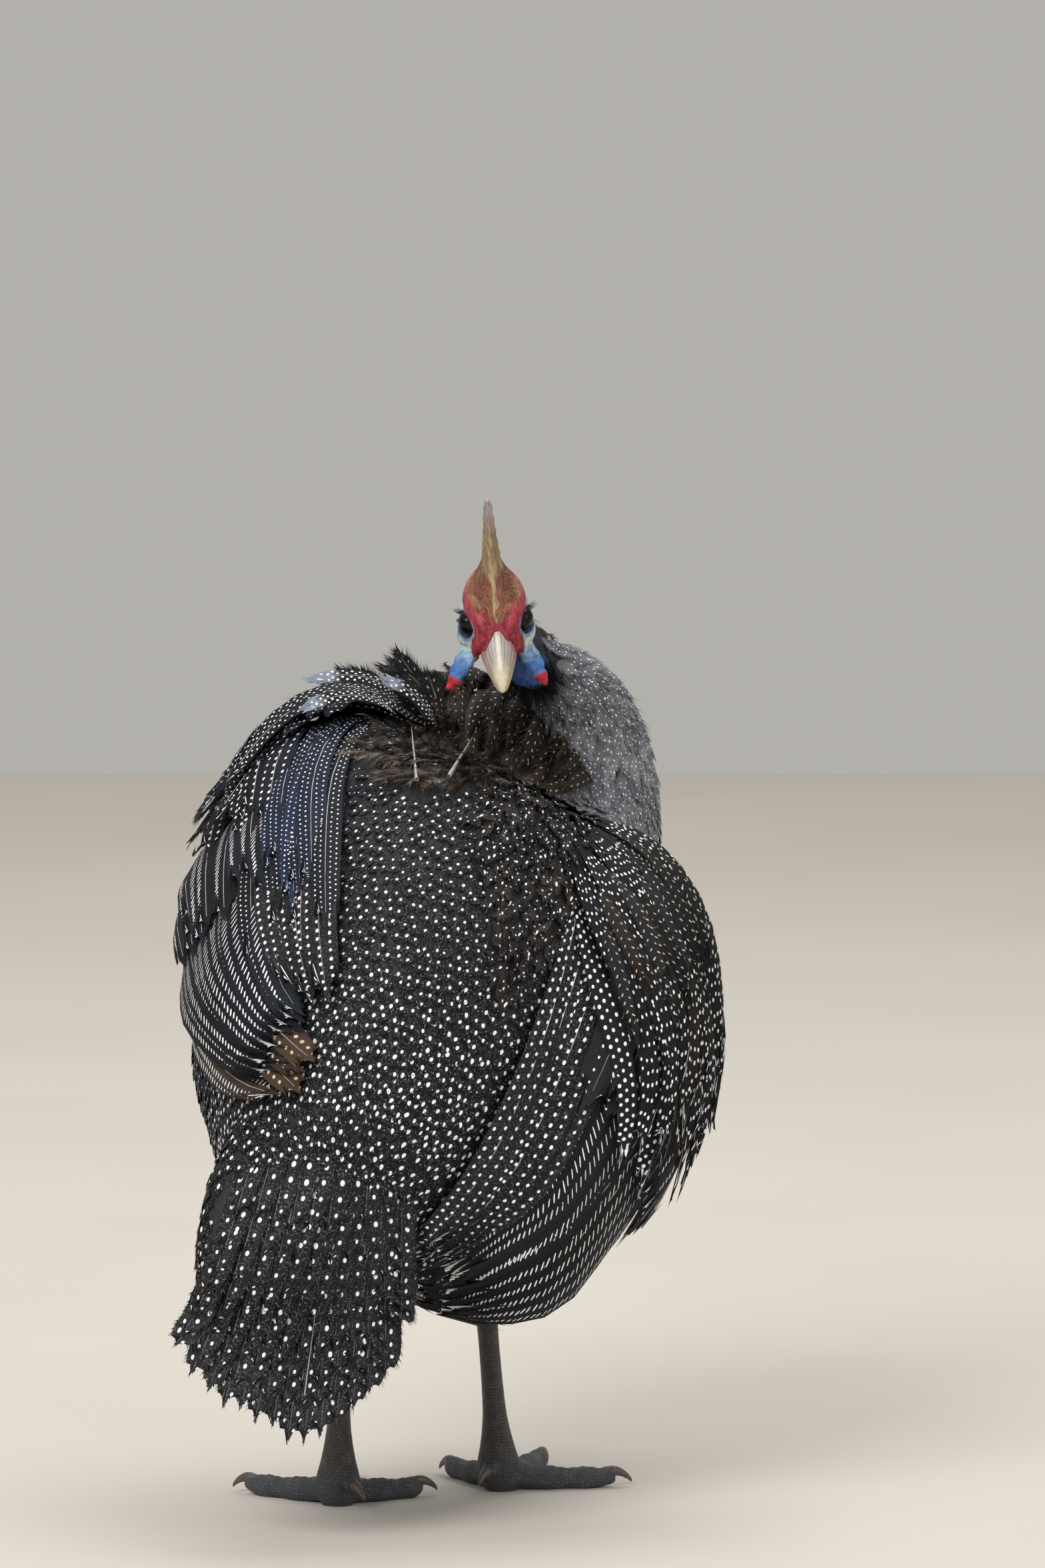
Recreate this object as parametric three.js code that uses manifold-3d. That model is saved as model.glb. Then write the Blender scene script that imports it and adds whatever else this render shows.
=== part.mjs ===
// A helmeted guinea fowl, life size, standing with its back to the viewer and its head turned round over
// its back. Millimetres, +Z up. The origin is on the floor between the feet, +Y is away from the viewer
// and +X is to the viewer's right, which is also the bird's right side.
import * as THREE from "three";
import { mergeVertices } from "three/addons/utils/BufferGeometryUtils.js";
import Module from "manifold-3d";

const wasm = await Module();
wasm.setup();

// Driving dimensions, in millimetres and degrees
const GAP = 0.35; // between touching nodes
const BODY = {
  centre: [5, 12, 207],
  yaw: 22, // the chest points this far to the right of straight away
  pitch: 40, // and this far up
  roll: 15, // the right side hangs lower than the left
  front: 132,
  rear: 138,
  side: 91,
  back: 99,
  belly: 92,
};
const FEATHERED_NECK = 0.76; // share of the neck's length that is feathered
const HEAD = {
  centre: [34.6, 20, 376.5],
  pitch: 39, // the bill points this far below level
  roll: -4.5, // the crown leans this far to the left
  yaw: 2,
  halfWidth: 15.4,
  crown: 16,
  jaw: 12.5,
};
const EYE = { radius: 6.2, forward: 4.8, out: 10.4, up: 2.4 };
const CASQUE_HEIGHT = 57.5; // from the eye line to its tip
const BILL_LENGTH = 24.5;
const FOOT = { left: [-33, -33], right: [37, 2] };
const ANKLE = { left: [-31, -52, 90], right: [30, -18, 90] };
const TARSUS = { halfWidth: 4.4, halfDepth: 5.4, scutes: 7 };
const VANE_THICKNESS = 0.8;

// Vector helpers
const vec = (x, y, z) => new THREE.Vector3(x, y, z);
const rad = THREE.MathUtils.degToRad;
const lerp = THREE.MathUtils.lerp;
const smooth = THREE.MathUtils.smoothstep;
const plus = (p, ...terms) => {
  const sum = p.clone();
  for (const [direction, amount] of terms) sum.addScaledVector(direction, amount);
  return sum;
};

// A repeatable random draw between -1 and 1
function makeDraw(seed) {
  let state = seed;
  return () => {
    state = (state * 16807) % 2147483647;
    return (state / 2147483647) * 2 - 1;
  };
}

// The value of a curve given as [place, value] marks, with smooth turns between them
function along(marks, place) {
  let last = 1;
  while (last < marks.length - 1 && marks[last][0] < place) last += 1;
  const [from, to] = [marks[last - 1], marks[last]];
  const share = THREE.MathUtils.clamp((place - from[0]) / (to[0] - from[0]), 0, 1);
  const before = marks[Math.max(0, last - 2)];
  const after = marks[Math.min(marks.length - 1, last + 1)];
  const span = to[0] - from[0];
  const slopeIn = ((to[1] - before[1]) / (to[0] - before[0])) * span;
  const slopeOut = ((after[1] - from[1]) / (after[0] - from[0])) * span;
  const square = share * share;
  const cube = square * share;
  return (
    (2 * cube - 3 * square + 1) * from[1] +
    (cube - 2 * square + share) * slopeIn +
    (3 * square - 2 * cube) * to[1] +
    (cube - square) * slopeOut
  );
}

// Closed solids from points and triangles, turned outwards
function closed(points, triangles) {
  let volume = 0;
  for (const [a, b, c] of triangles) {
    volume += points[a].dot(points[b].clone().cross(points[c]));
  }
  const turned = volume < 0 ? triangles.map(([a, b, c]) => [a, c, b]) : triangles;
  return new wasm.Manifold(
    new wasm.Mesh({
      numProp: 3,
      vertProperties: new Float32Array(points.flatMap((p) => [p.x, p.y, p.z])),
      triVerts: new Uint32Array(turned.flat()),
    }),
  );
}

// A skin over rings of points, closed at each end on a point of its own
function overRings(rings, start, end) {
  const sides = rings[0].length;
  const points = [start, ...rings.flat(), end];
  const at = (ring, side) => 1 + ring * sides + (side % sides);
  const last = points.length - 1;
  const triangles = [];
  for (let side = 0; side < sides; side += 1) {
    triangles.push([0, at(0, side + 1), at(0, side)]);
    triangles.push([last, at(rings.length - 1, side), at(rings.length - 1, side + 1)]);
    for (let ring = 0; ring < rings.length - 1; ring += 1) {
      triangles.push([at(ring, side), at(ring, side + 1), at(ring + 1, side + 1)]);
      triangles.push([at(ring, side), at(ring + 1, side + 1), at(ring + 1, side)]);
    }
  }
  return closed(points, triangles);
}

// A sheet between two grids of points, split into triangles alike on both faces
function betweenGrids(top, bottom) {
  const [rows, columns] = [top.length, top[0].length];
  const points = [...top.flat(), ...bottom.flat()];
  const upper = (row, column) => row * columns + column;
  const lower = (row, column) => rows * columns + upper(row, column);
  const triangles = [];
  for (let row = 0; row < rows - 1; row += 1) {
    for (let column = 0; column < columns - 1; column += 1) {
      const next = [row + 1, column + 1];
      triangles.push([upper(row, column), upper(row, column + 1), upper(...next)]);
      triangles.push([upper(row, column), upper(...next), upper(row + 1, column)]);
      triangles.push([lower(row, column), lower(...next), lower(row, column + 1)]);
      triangles.push([lower(row, column), lower(row + 1, column), lower(...next)]);
    }
  }
  const rim = [];
  for (let column = 0; column < columns - 1; column += 1) rim.push([0, column]);
  for (let row = 0; row < rows - 1; row += 1) rim.push([row, columns - 1]);
  for (let column = columns - 1; column > 0; column -= 1) rim.push([rows - 1, column]);
  for (let row = rows - 1; row > 0; row -= 1) rim.push([row, 0]);
  rim.forEach((place, index) => {
    const following = rim[(index + 1) % rim.length];
    triangles.push([upper(...place), lower(...place), lower(...following)]);
    triangles.push([upper(...place), lower(...following), upper(...following)]);
  });
  return closed(points, triangles);
}

// A round or oval tube along a smooth line. Each station is [point, half width, half depth], and
// the width runs along the given sideways direction. bulge adds to the radius at a share and angle.
function tube(stations, sides, sideways, { grow = 0, rings = 0, bulge = null, flat = false } = {}) {
  const line = new THREE.CatmullRomCurve3(stations.map(([p]) => vec(...p)), false, "centripetal");
  const count = rings || stations.length;
  const made = [];
  for (let ring = 0; ring < count; ring += 1) {
    const share = ring / (count - 1);
    const place = share * (stations.length - 1);
    const tangent = line.getTangent(share);
    const across = sideways.clone().addScaledVector(tangent, -sideways.dot(tangent)).normalize();
    const deep = tangent.clone().cross(across).normalize();
    const wide = along(stations.map((s, index) => [index, s[1]]), place) + grow;
    const high = along(stations.map((s, index) => [index, s[2]]), place) + grow;
    const centre = line.getPoint(share);
    const points = [];
    for (let side = 0; side < sides; side += 1) {
      const angle = (side / sides) * 2 * Math.PI;
      const extra = bulge ? bulge(share, angle) : 0;
      points.push(
        plus(centre, [across, Math.cos(angle) * (wide + extra)], [deep, Math.sin(angle) * (high + extra)]),
      );
    }
    made.push({ points, centre, tangent, wide });
  }
  const [first, final] = [made[0], made[made.length - 1]];
  const dome = flat ? 0 : 0.45;
  return overRings(
    made.map((ring) => ring.points),
    plus(first.centre, [first.tangent, -first.wide * dome]),
    plus(final.centre, [final.tangent, final.wide * dome]),
  );
}

// An oval blob at a place, with its three half sizes along the given axes
function blob(centre, axes, sizes, detail = 8) {
  const ball = new THREE.SphereGeometry(1, detail, Math.max(4, Math.round(detail * 0.6)));
  ball.deleteAttribute("normal");
  ball.deleteAttribute("uv");
  const scaled = axes.map((axis, index) => axis.clone().multiplyScalar(sizes[index]));
  const basis = new THREE.Matrix4().makeBasis(...scaled);
  basis.setPosition(centre);
  const merged = mergeVertices(ball.applyMatrix4(basis), 1e-3);
  const place = merged.getAttribute("position");
  const points = [];
  for (let i = 0; i < place.count; i += 1) points.push(vec(place.getX(i), place.getY(i), place.getZ(i)));
  const index = [...merged.index.array];
  const triangles = [];
  for (let i = 0; i < index.length; i += 3) triangles.push(index.slice(i, i + 3));
  return closed(points, triangles.filter(([a, b, c]) => a !== b && b !== c && a !== c));
}

const unite = (pieces) => pieces.reduce((sum, piece) => sum.add(piece));
const largest = (solid) => solid.decompose().sort((a, b) => b.volume() - a.volume())[0];

// The body's own axes: forward, to its right, and out of its back
const forward = vec(
  Math.cos(rad(BODY.pitch)) * Math.sin(rad(BODY.yaw)),
  Math.cos(rad(BODY.pitch)) * Math.cos(rad(BODY.yaw)),
  Math.sin(rad(BODY.pitch)),
);
const level = vec(Math.cos(rad(BODY.yaw)), -Math.sin(rad(BODY.yaw)), 0);
const upright = level.clone().cross(forward).normalize();
const dorsal = plus(vec(0, 0, 0), [upright, Math.cos(rad(BODY.roll))], [level, Math.sin(rad(BODY.roll))]);
const rightward = plus(vec(0, 0, 0), [level, Math.cos(rad(BODY.roll))], [upright, -Math.sin(rad(BODY.roll))]);

// Swells and hollows of the ruffled plumage: place on the body, how far out, and how wide each way
const SWELLS = [
  { lat: 47, round: 8, out: -26, lats: 10, rounds: 34 }, // the parted feathers behind the mantle
  { lat: 66, round: -22, out: 26, lats: 13, rounds: 62 }, // the raised mantle
  { lat: 24, round: 0, out: 6, lats: 14, rounds: 38 }, // the crest of the lower back
  { lat: 42, round: -60, out: 22, lats: 18, rounds: 28 }, // the raised left shoulder
  { lat: 14, round: -88, out: 8, lats: 26, rounds: 24 }, // the left flank under its wing
  { lat: 26, round: 74, out: 6, lats: 24, rounds: 26 }, // the right shoulder
  { lat: -16, round: 100, out: 9, lats: 26, rounds: 26 }, // the right flank under its wing
  { lat: 58, round: 105, out: 12, lats: 20, rounds: 40 }, // the breast below the bent neck
  { lat: -62, round: -30, out: 9, lats: 20, rounds: 60 }, // the full rump
  { lat: -50, round: 180, out: -6, lats: 25, rounds: 50 }, // the tucked vent
];

function trunkBase(lat, round) {
  const [l, r] = [rad(lat), rad(round)];
  const reach = Math.cos(l) ** 0.88;
  const length = Math.sin(l) * (lat > 0 ? BODY.front : BODY.rear);
  const rise = Math.cos(r) * (Math.cos(r) > 0 ? BODY.back : BODY.belly) * reach;
  const swell = SWELLS.reduce((sum, s) => {
    const turn = ((((round - s.round + 180) % 360) + 360) % 360) - 180;
    return sum + s.out * Math.exp(-(((lat - s.lat) / s.lats) ** 2) - (turn / s.rounds) ** 2);
  }, 0);
  const base = plus(
    vec(...BODY.centre),
    [forward, length],
    [dorsal, rise],
    [rightward, Math.sin(r) * BODY.side * reach],
  );
  const out = plus(
    vec(0, 0, 0),
    [dorsal, Math.cos(r) * Math.cos(l)],
    [rightward, Math.sin(r) * Math.cos(l)],
    [forward, Math.sin(l)],
  );
  return plus(base, [out, swell]);
}

// The way out of the body's surface at a place
function trunkNormal(lat, round) {
  const step = 0.5;
  const l = THREE.MathUtils.clamp(lat, -88, 88);
  const ahead = trunkBase(l + step, round).sub(trunkBase(l - step, round));
  const around = trunkBase(l, round + step).sub(trunkBase(l, round - step));
  return around.cross(ahead).normalize();
}

const trunkAt = (lat, round, height = 0) => plus(trunkBase(lat, round), [trunkNormal(lat, round), height]);

const TRUNK_RINGS = 17;
const TRUNK_SIDES = 24;
function trunk(grow = 0) {
  const rings = [];
  for (let ring = 1; ring < TRUNK_RINGS; ring += 1) {
    const lat = -90 + (ring / TRUNK_RINGS) * 180;
    const points = [];
    for (let side = 0; side < TRUNK_SIDES; side += 1) {
      points.push(trunkAt(lat, (side / TRUNK_SIDES) * 360, grow));
    }
    rings.push(points);
  }
  const pole = (lat, sign) => plus(trunkBase(lat, 0), [forward, sign * grow]);
  return overRings(rings, pole(-90, -1), pole(90, 1));
}

// One feather as a thin tapered vane along a row of points on its shaft. Each point comes with the
// way out of the surface below it. A tilt lifts one edge, so that neighbours overlap like tiles.
const VANE_OUTLINE = [
  [0, 0.5],
  [0.3, 0.85],
  [0.65, 1],
  [0.88, 0.84],
  [1, 0.34],
];
function vane(shaft, width, { tilt = 0, grow = 0 } = {}) {
  const thickness = VANE_THICKNESS + 2 * grow;
  const top = [];
  const bottom = [];
  shaft.forEach(({ at, out }, row) => {
    const share = row / (shaft.length - 1);
    const before = shaft[Math.max(0, row - 1)].at;
    const after = shaft[Math.min(shaft.length - 1, row + 1)].at;
    const course = after.clone().sub(before).normalize();
    const normal = out.clone().addScaledVector(course, -out.dot(course)).normalize();
    const across = course.clone().cross(normal);
    const half = (width / 2) * along(VANE_OUTLINE, share) + grow;
    const line = [-1, 1].map((u) => plus(at, [across, u * half], [normal, tilt * u * share]));
    top.push(line.map((p) => plus(p, [normal, thickness / 2])));
    bottom.push(line.map((p) => plus(p, [normal, -thickness / 2])));
  });
  return betweenGrids(top, bottom);
}

// A vane over the body from a root to a tip, each a [lat, round], at a height above its surface
function bodyVane(root, tip, width, heightAt, { rows = 4, tilt = 0, grow = 0 } = {}) {
  const shaft = [];
  for (let row = 0; row < rows; row += 1) {
    const share = row / (rows - 1);
    const lat = lerp(root[0], tip[0], share);
    const round = lerp(root[1], tip[1], share);
    shaft.push({ at: trunkAt(lat, round, heightAt(share, lat, round)), out: trunkNormal(lat, round) });
  }
  return vane(shaft, width, { tilt, grow });
}

// The neck, from deep in the chest up and over to the back of the turned head
const NECK_LINE = [
  [[34, 52, 224], 50, 46],
  [[54, 78, 262], 55, 48],
  [[68, 82, 298], 42, 38],
  [[71, 70, 327], 28, 27],
  [[64, 57, 345], 20, 19],
  [[51, 45, 356], 12.5, 13],
  [[42, 38, 367], 10, 11.5],
  [[36, 30, 375], 8, 8.5],
];
function neckSpan(from, to, grow = 0, sides = 18, rings = 9) {
  const whole = new THREE.CatmullRomCurve3(NECK_LINE.map(([p]) => vec(...p)), false, "centripetal");
  const stations = [];
  for (let ring = 0; ring < rings; ring += 1) {
    const share = lerp(from, to, ring / (rings - 1));
    const place = share * (NECK_LINE.length - 1);
    const point = whole.getPoint(share);
    stations.push([
      [point.x, point.y, point.z],
      along(NECK_LINE.map((s, index) => [index, s[1]]), place),
      along(NECK_LINE.map((s, index) => [index, s[2]]), place),
    ]);
  }
  return tube(stations, sides, vec(1, -0.2, 0), { grow, flat: true });
}

// The bare part of the neck, with the loose skin of the throat bulging below the bill
function bareNeck(grow = 0) {
  const axes = [vec(1, 0, 0), vec(0, 1, 0), vec(0, 0, 1)];
  const throat = [
    blob(vec(47, 35, 355), axes, [7.5 + grow, 9 + grow, 9.5 + grow], 12),
    blob(vec(51, 39, 350), axes, [7 + grow, 8 + grow, 6 + grow], 10),
  ];
  return unite([neckSpan(FEATHERED_NECK - 0.05, 1, grow, 14, 7), ...throat]);
}

// The head's own axes: along the bill, up through the casque, and to the viewer's right
const headTurn = new THREE.Euler(rad(HEAD.pitch), rad(HEAD.roll), rad(HEAD.yaw), "ZYX");
const billward = vec(0, -1, 0).applyEuler(headTurn);
const crownward = vec(0, 0, 1).applyEuler(headTurn);
const sideward = vec(1, 0, 0).applyEuler(headTurn);
const HEAD_AXES = [billward, sideward, crownward];
const onHead = (ahead, side, up) =>
  plus(vec(...HEAD.centre), [billward, ahead], [sideward, side], [crownward, up]);

// Sections of the skull: how far ahead, half width, crown above and jaw below the eye line
const SKULL = [
  { ahead: -21, wide: 7.5, above: 9, below: 7 },
  { ahead: -14, wide: 11.8, above: 13.5, below: 11 },
  { ahead: -6, wide: HEAD.halfWidth, above: HEAD.crown, below: HEAD.jaw },
  { ahead: 3, wide: 14, above: 15.5, below: HEAD.jaw },
  { ahead: 10, wide: 11.2, above: 12.5, below: 11 },
  { ahead: 16, wide: 7.6, above: 8.6, below: 8.4 },
  { ahead: 19.5, wide: 4.8, above: 5, below: 6 },
];
function skull() {
  const sides = 16;
  const rings = SKULL.map((s) => {
    const points = [];
    for (let side = 0; side < sides; side += 1) {
      const angle = (side / sides) * 2 * Math.PI;
      const up = Math.sin(angle) * (Math.sin(angle) > 0 ? s.above : s.below);
      points.push(onHead(s.ahead, Math.cos(angle) * s.wide, up));
    }
    return points;
  });
  return overRings(rings, onHead(-24, 0, 1), onHead(21, 0, -0.5));
}

// The casque: height above the eye line, set back, half width, half length
const CASQUE = [
  { up: 8.5, back: 1, wide: 13.6, long: 15 },
  { up: 14.5, back: 2.5, wide: 12.2, long: 14 },
  { up: 19.5, back: 4, wide: 7.8, long: 12 },
  { up: 25, back: 5.5, wide: 4.7, long: 10 },
  { up: 33, back: 7.5, wide: 3.9, long: 8.2 },
  { up: 42, back: 9.5, wide: 3.3, long: 6.4 },
  { up: 50, back: 11.5, wide: 2.7, long: 4.8 },
  { up: 55.5, back: 13, wide: 1.9, long: 3 },
];
function casque(grow = 0) {
  const sides = 12;
  const rings = CASQUE.map((s) => {
    const points = [];
    for (let side = 0; side < sides; side += 1) {
      const angle = (side / sides) * 2 * Math.PI;
      points.push(
        onHead(-s.back + Math.cos(angle) * (s.long + grow), Math.sin(angle) * (s.wide + grow), s.up),
      );
    }
    return points;
  });
  const top = CASQUE[CASQUE.length - 1];
  return overRings(rings, onHead(-1, 0, CASQUE[0].up - 2), onHead(-top.back, 0, CASQUE_HEIGHT));
}

// The bill: sections from the forehead to the hooked tip
const UPPER_BILL = [
  { ahead: 10, wide: 6, above: 8.5, below: 3.4 },
  { ahead: 17, wide: 6.2, above: 7.6, below: 3.4 },
  { ahead: 24, wide: 5.4, above: 5.8, below: 3.6 },
  { ahead: 30.5, wide: 4.2, above: 3.2, below: 4.4 },
  { ahead: 35.8, wide: 2.9, above: -0.4, below: 5.6 },
  { ahead: 38.8, wide: 1.7, above: -3.4, below: 6.8 },
];
function upperBill(grow = 0) {
  const rings = UPPER_BILL.map((s) =>
    [
      [1, -s.below - grow],
      [1.02, -s.below + 1.6],
      [0.68, lerp(-s.below, s.above, 0.72)],
      [0, s.above + grow],
      [-0.68, lerp(-s.below, s.above, 0.72)],
      [-1.02, -s.below + 1.6],
      [-1, -s.below - grow],
      [0, -s.below + 0.8 - grow],
    ].map(([side, up]) => onHead(s.ahead, side * (s.wide + grow), up)),
  );
  return overRings(rings, onHead(8, 0, 3), onHead(15 + BILL_LENGTH, 0, -6.2));
}
const LOWER_BILL = [
  { ahead: 10, wide: 5.6, above: -3.4, below: 7.6 },
  { ahead: 18, wide: 5.4, above: -3.4, below: 7.8 },
  { ahead: 26, wide: 4.3, above: -3.8, below: 7.6 },
  { ahead: 33, wide: 2.8, above: -4.6, below: 7.4 },
];
function lowerBill() {
  const rings = LOWER_BILL.map((s) =>
    [
      [1, s.above - GAP],
      [0.8, -s.below + 1],
      [0, -s.below - 0.8],
      [-0.8, -s.below + 1],
      [-1, s.above - GAP],
      [0, s.above - GAP],
    ].map(([side, up]) => onHead(s.ahead, side * s.wide, up)),
  );
  return overRings(rings, onHead(8, 0, -5.5), onHead(35.6, 0, -6.2));
}

const eyeCentre = (sign) => onHead(EYE.forward, sign * EYE.out, EYE.up);
const eyeball = (sign, grow = 0) =>
  blob(eyeCentre(sign), HEAD_AXES, Array(3).fill(EYE.radius + grow), 12);

// A ring of lid skin round each eye
function lid(sign) {
  const triangles = [];
  const outward = plus(vec(0, 0, 0), [sideward, sign * 0.94], [billward, 0.34]).normalize();
  const raise = crownward.clone().addScaledVector(outward, -crownward.dot(outward)).normalize();
  const ahead = outward.clone().cross(raise);
  const centre = plus(eyeCentre(sign), [outward, 3.6]);
  const [steps, sides] = [14, 6];
  const points = [];
  for (let step = 0; step < steps; step += 1) {
    const angle = (step / steps) * 2 * Math.PI;
    const spoke = plus(vec(0, 0, 0), [raise, Math.sin(angle)], [ahead, Math.cos(angle) * 1.08]);
    for (let side = 0; side < sides; side += 1) {
      const turn = (side / sides) * 2 * Math.PI;
      points.push(plus(centre, [spoke, 5.2 + Math.cos(turn) * 1.3], [outward, Math.sin(turn) * 1.5]));
    }
  }
  for (let step = 0; step < steps; step += 1) {
    for (let side = 0; side < sides; side += 1) {
      const at = (s, t) => (s % steps) * sides + (t % sides);
      triangles.push([at(step, side), at(step + 1, side), at(step + 1, side + 1)]);
      triangles.push([at(step, side), at(step + 1, side + 1), at(step, side + 1)]);
    }
  }
  return closed(points, triangles);
}

// Folds of red skin on each side: over the brow, round the nostril, and down to the mouth's corner
const FOLDS = [
  { radius: 2.6, course: [[0, 9.5, 11.5], [7, 9, 11], [13, 6.6, 8.8], [17.5, 4, 6.6]] },
  { radius: 2.1, course: [[8, 8.6, 8], [13, 8.2, 5.4], [16.6, 7.2, 1.6], [16, 7.4, -2.4]] },
  { radius: 1.9, course: [[18.6, 2.6, 7.4], [21, 4.8, 4.6], [20.6, 6, 0.6], [17.4, 7.4, -3.4]] },
  { radius: 1.8, course: [[12.4, 9.4, 1.6], [14.4, 9, -2], [13.6, 9.4, -5.2], [10.4, 10.2, -8]] },
];
function head() {
  const pieces = [skull()];
  for (const sign of [-1, 1]) {
    pieces.push(lid(sign));
    pieces.push(blob(onHead(1, sign * 8.2, -6.5), HEAD_AXES, [8.5, 5.4, 6.5], 8));
    for (const { radius, course } of FOLDS) {
      const stations = course.map(([ahead, out, up], index) => {
        const point = onHead(ahead, sign * out, up);
        const thin = index === 0 || index === course.length - 1 ? 0.7 : 1;
        return [[point.x, point.y, point.z], radius * thin, radius * thin];
      });
      pieces.push(tube(stations, 6, plus(vec(0, 0, 0), [sideward, 1], [crownward, 0.6]), { rings: 5 }));
    }
  }
  let made = unite(pieces);
  for (const sign of [-1, 1]) {
    made = made.subtract(eyeball(sign, GAP)).subtract(wattle(sign, GAP));
    // Nostril and ear
    made = made.subtract(blob(onHead(19.4, sign * 5.9, 4.2), HEAD_AXES, [2.4, 1.2, 0.9], 6));
    made = made.subtract(blob(onHead(-10, sign * 14.2, -1.5), HEAD_AXES, [1.8, 1.8, 2.4], 6));
  }
  made = made.subtract(casque(GAP));
  made = made.subtract(upperBill(GAP)).subtract(lowerBill());
  return largest(made.subtract(bareNeck(GAP)));
}

// A wattle: a tapering flap that hangs from the corner of the cheek and swings outwards
function wattle(sign, grow = 0) {
  const root = onHead(8, sign * 11.6, -8.6);
  const hang = vec(sign * 0.46, -0.12, -0.88).normalize();
  const sizes = [
    [0, 3.8, 1.6],
    [5, 4.9, 2],
    [10, 4.8, 2],
    [15, 3.7, 1.7],
    [19.5, 2.2, 1.2],
  ];
  const stations = sizes.map(([down, wide, thick]) => {
    const point = plus(root, [hang, down + 1]);
    return [[point.x, point.y, point.z], wide, thick];
  });
  return tube(stations, 8, vec(sign * 0.8, 0.6, 0), { grow });
}

// Legs. A foot's toes turn from straight away towards the viewer's right
const TOES = {
  left: [
    { name: "outer", turn: -56, length: 45, claw: 10 },
    { name: "middle", turn: 4, length: 55, claw: 11 },
    { name: "inner", turn: 62, length: 38, claw: 10 },
    { name: "hind", turn: 152, length: 15, claw: 10 },
  ],
  right: [
    { name: "outer", turn: 82, length: 47, claw: 10 },
    { name: "middle", turn: 18, length: 55, claw: 11 },
    { name: "inner", turn: -34, length: 38, claw: 10 },
    { name: "hind", turn: -158, length: 15, claw: 10 },
  ],
};

// Scutes show as steps along the upper side of a toe and down the front of the shank
const scuteStep = (count, share) => ((share * count) % 1) * 0.9;

function toe(foot, { turn, length, name }, grow = 0) {
  const [x, y] = foot;
  const course = vec(Math.sin(rad(turn)), Math.cos(rad(turn)), 0);
  const across = vec(course.y, -course.x, 0);
  const hind = name === "hind";
  const marks = hind
    ? [
        [0, 15, 4.6],
        [0.5, 13.5, 3.8],
        [1, 9.5, 3.1],
      ]
    : [
        [0, 10, 7.2],
        [0.28, 5.2, 5.8],
        [0.62, 4.2, 4.9],
        [0.86, 4, 4.7],
        [1, 4.4, 3.7],
      ];
  const stations = marks.map(([share, height, radius]) => [
    [x + course.x * length * share, y + course.y * length * share, height],
    radius,
    radius,
  ]);
  const scutes = hind ? 2 : 4;
  const ridge = (share, angle) => (Math.sin(angle) > 0.3 && share > 0.25 ? scuteStep(scutes, share) : 0);
  return tube(stations, 8, across, { grow, rings: scutes * 2 + 1, bulge: ridge });
}

function claw(foot, { turn, length, claw: reach, name }) {
  const [x, y] = foot;
  const course = vec(Math.sin(rad(turn)), Math.cos(rad(turn)), 0);
  const hind = name === "hind";
  const base = hind ? 10 : 6.4;
  const marks = [
    [-4, base - 0.6, 2.4],
    [1.5, base + 0.6, 2.2],
    [reach * 0.55, base - 0.2, 1.6],
    [reach * 0.9, base - 2.6, 0.9],
    [reach, base - 4.4, 0.4],
  ];
  const stations = marks.map(([ahead, height, radius]) => [
    [x + course.x * (length + ahead), y + course.y * (length + ahead), height],
    radius,
    radius * 1.1,
  ]);
  return tube(stations, 6, vec(course.y, -course.x, 0));
}

const floorBlock = closed(
  [
    [-400, -400, -60],
    [400, -400, -60],
    [400, 400, -60],
    [-400, 400, -60],
    [-400, -400, 0],
    [400, -400, 0],
    [400, 400, 0],
    [-400, 400, 0],
  ].map((p) => vec(...p)),
  [
    [0, 2, 1],
    [0, 3, 2],
    [4, 5, 6],
    [4, 6, 7],
    [0, 1, 5],
    [0, 5, 4],
    [1, 2, 6],
    [1, 6, 5],
    [2, 3, 7],
    [2, 7, 6],
    [3, 0, 4],
    [3, 4, 7],
  ],
);

const FOOT_TOP = 22;
function foot(side, grow = 0) {
  const [x, y] = FOOT[side];
  const [ax, ay, az] = ANKLE[side];
  const share = FOOT_TOP / az;
  const stations = [
    [[x, y, -2], 7.6, 7],
    [[x, y, 8], 8.2, 7.6],
    [[lerp(x, ax, share * 0.7), lerp(y, ay, share * 0.7), 16], 6.6, 6.6],
    [[lerp(x, ax, share), lerp(y, ay, share), FOOT_TOP], 5.4, 6],
  ];
  const sole = tube(stations, 10, vec(1, 0, 0), { grow, flat: true });
  return unite([sole, ...TOES[side].map((t) => toe(FOOT[side], t, grow))]);
}

function shank(side) {
  const [x, y] = FOOT[side];
  const [ax, ay, az] = ANKLE[side];
  const marks = [
    [0, 5.3, 5.9],
    [0.2, TARSUS.halfWidth + 0.3, TARSUS.halfDepth],
    [0.5, TARSUS.halfWidth, TARSUS.halfDepth],
    [0.8, TARSUS.halfWidth + 0.2, TARSUS.halfDepth + 0.3],
    [1, TARSUS.halfWidth + 1.4, TARSUS.halfDepth + 1.6],
  ];
  const stations = marks.map(([share, wide, deep]) => {
    const height = lerp(FOOT_TOP + GAP, az, share);
    const whole = height / az;
    return [[lerp(x, ax, whole), lerp(y, ay, whole), height], wide, deep];
  });
  const ridge = (share, angle) =>
    Math.abs(angle - Math.PI / 2) < 1 ? scuteStep(TARSUS.scutes, 1 - share) : 0;
  return tube(stations, 10, vec(1, 0, 0), { rings: TARSUS.scutes * 2 + 1, bulge: ridge, flat: true });
}

// The feathered shin, from inside the flank down to the heel joint
function thigh(side, grow = 0) {
  const [ax, ay, az] = ANKLE[side];
  const out = Math.sign(ax);
  return tube(
    [
      [[ax + out * 4, ay + 54, az + 84], 26, 30],
      [[ax + out * 5, ay + 44, az + 50], 27, 31],
      [[ax + out * 2, ay + 17, az + 15], 15, 17],
      [[ax, ay + 1, az - 2], 8, 8.6],
      [[ax, ay + 1, az - 9], 6.4, 7.4],
    ],
    12,
    vec(1, 0, 0),
    { grow },
  );
}

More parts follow.
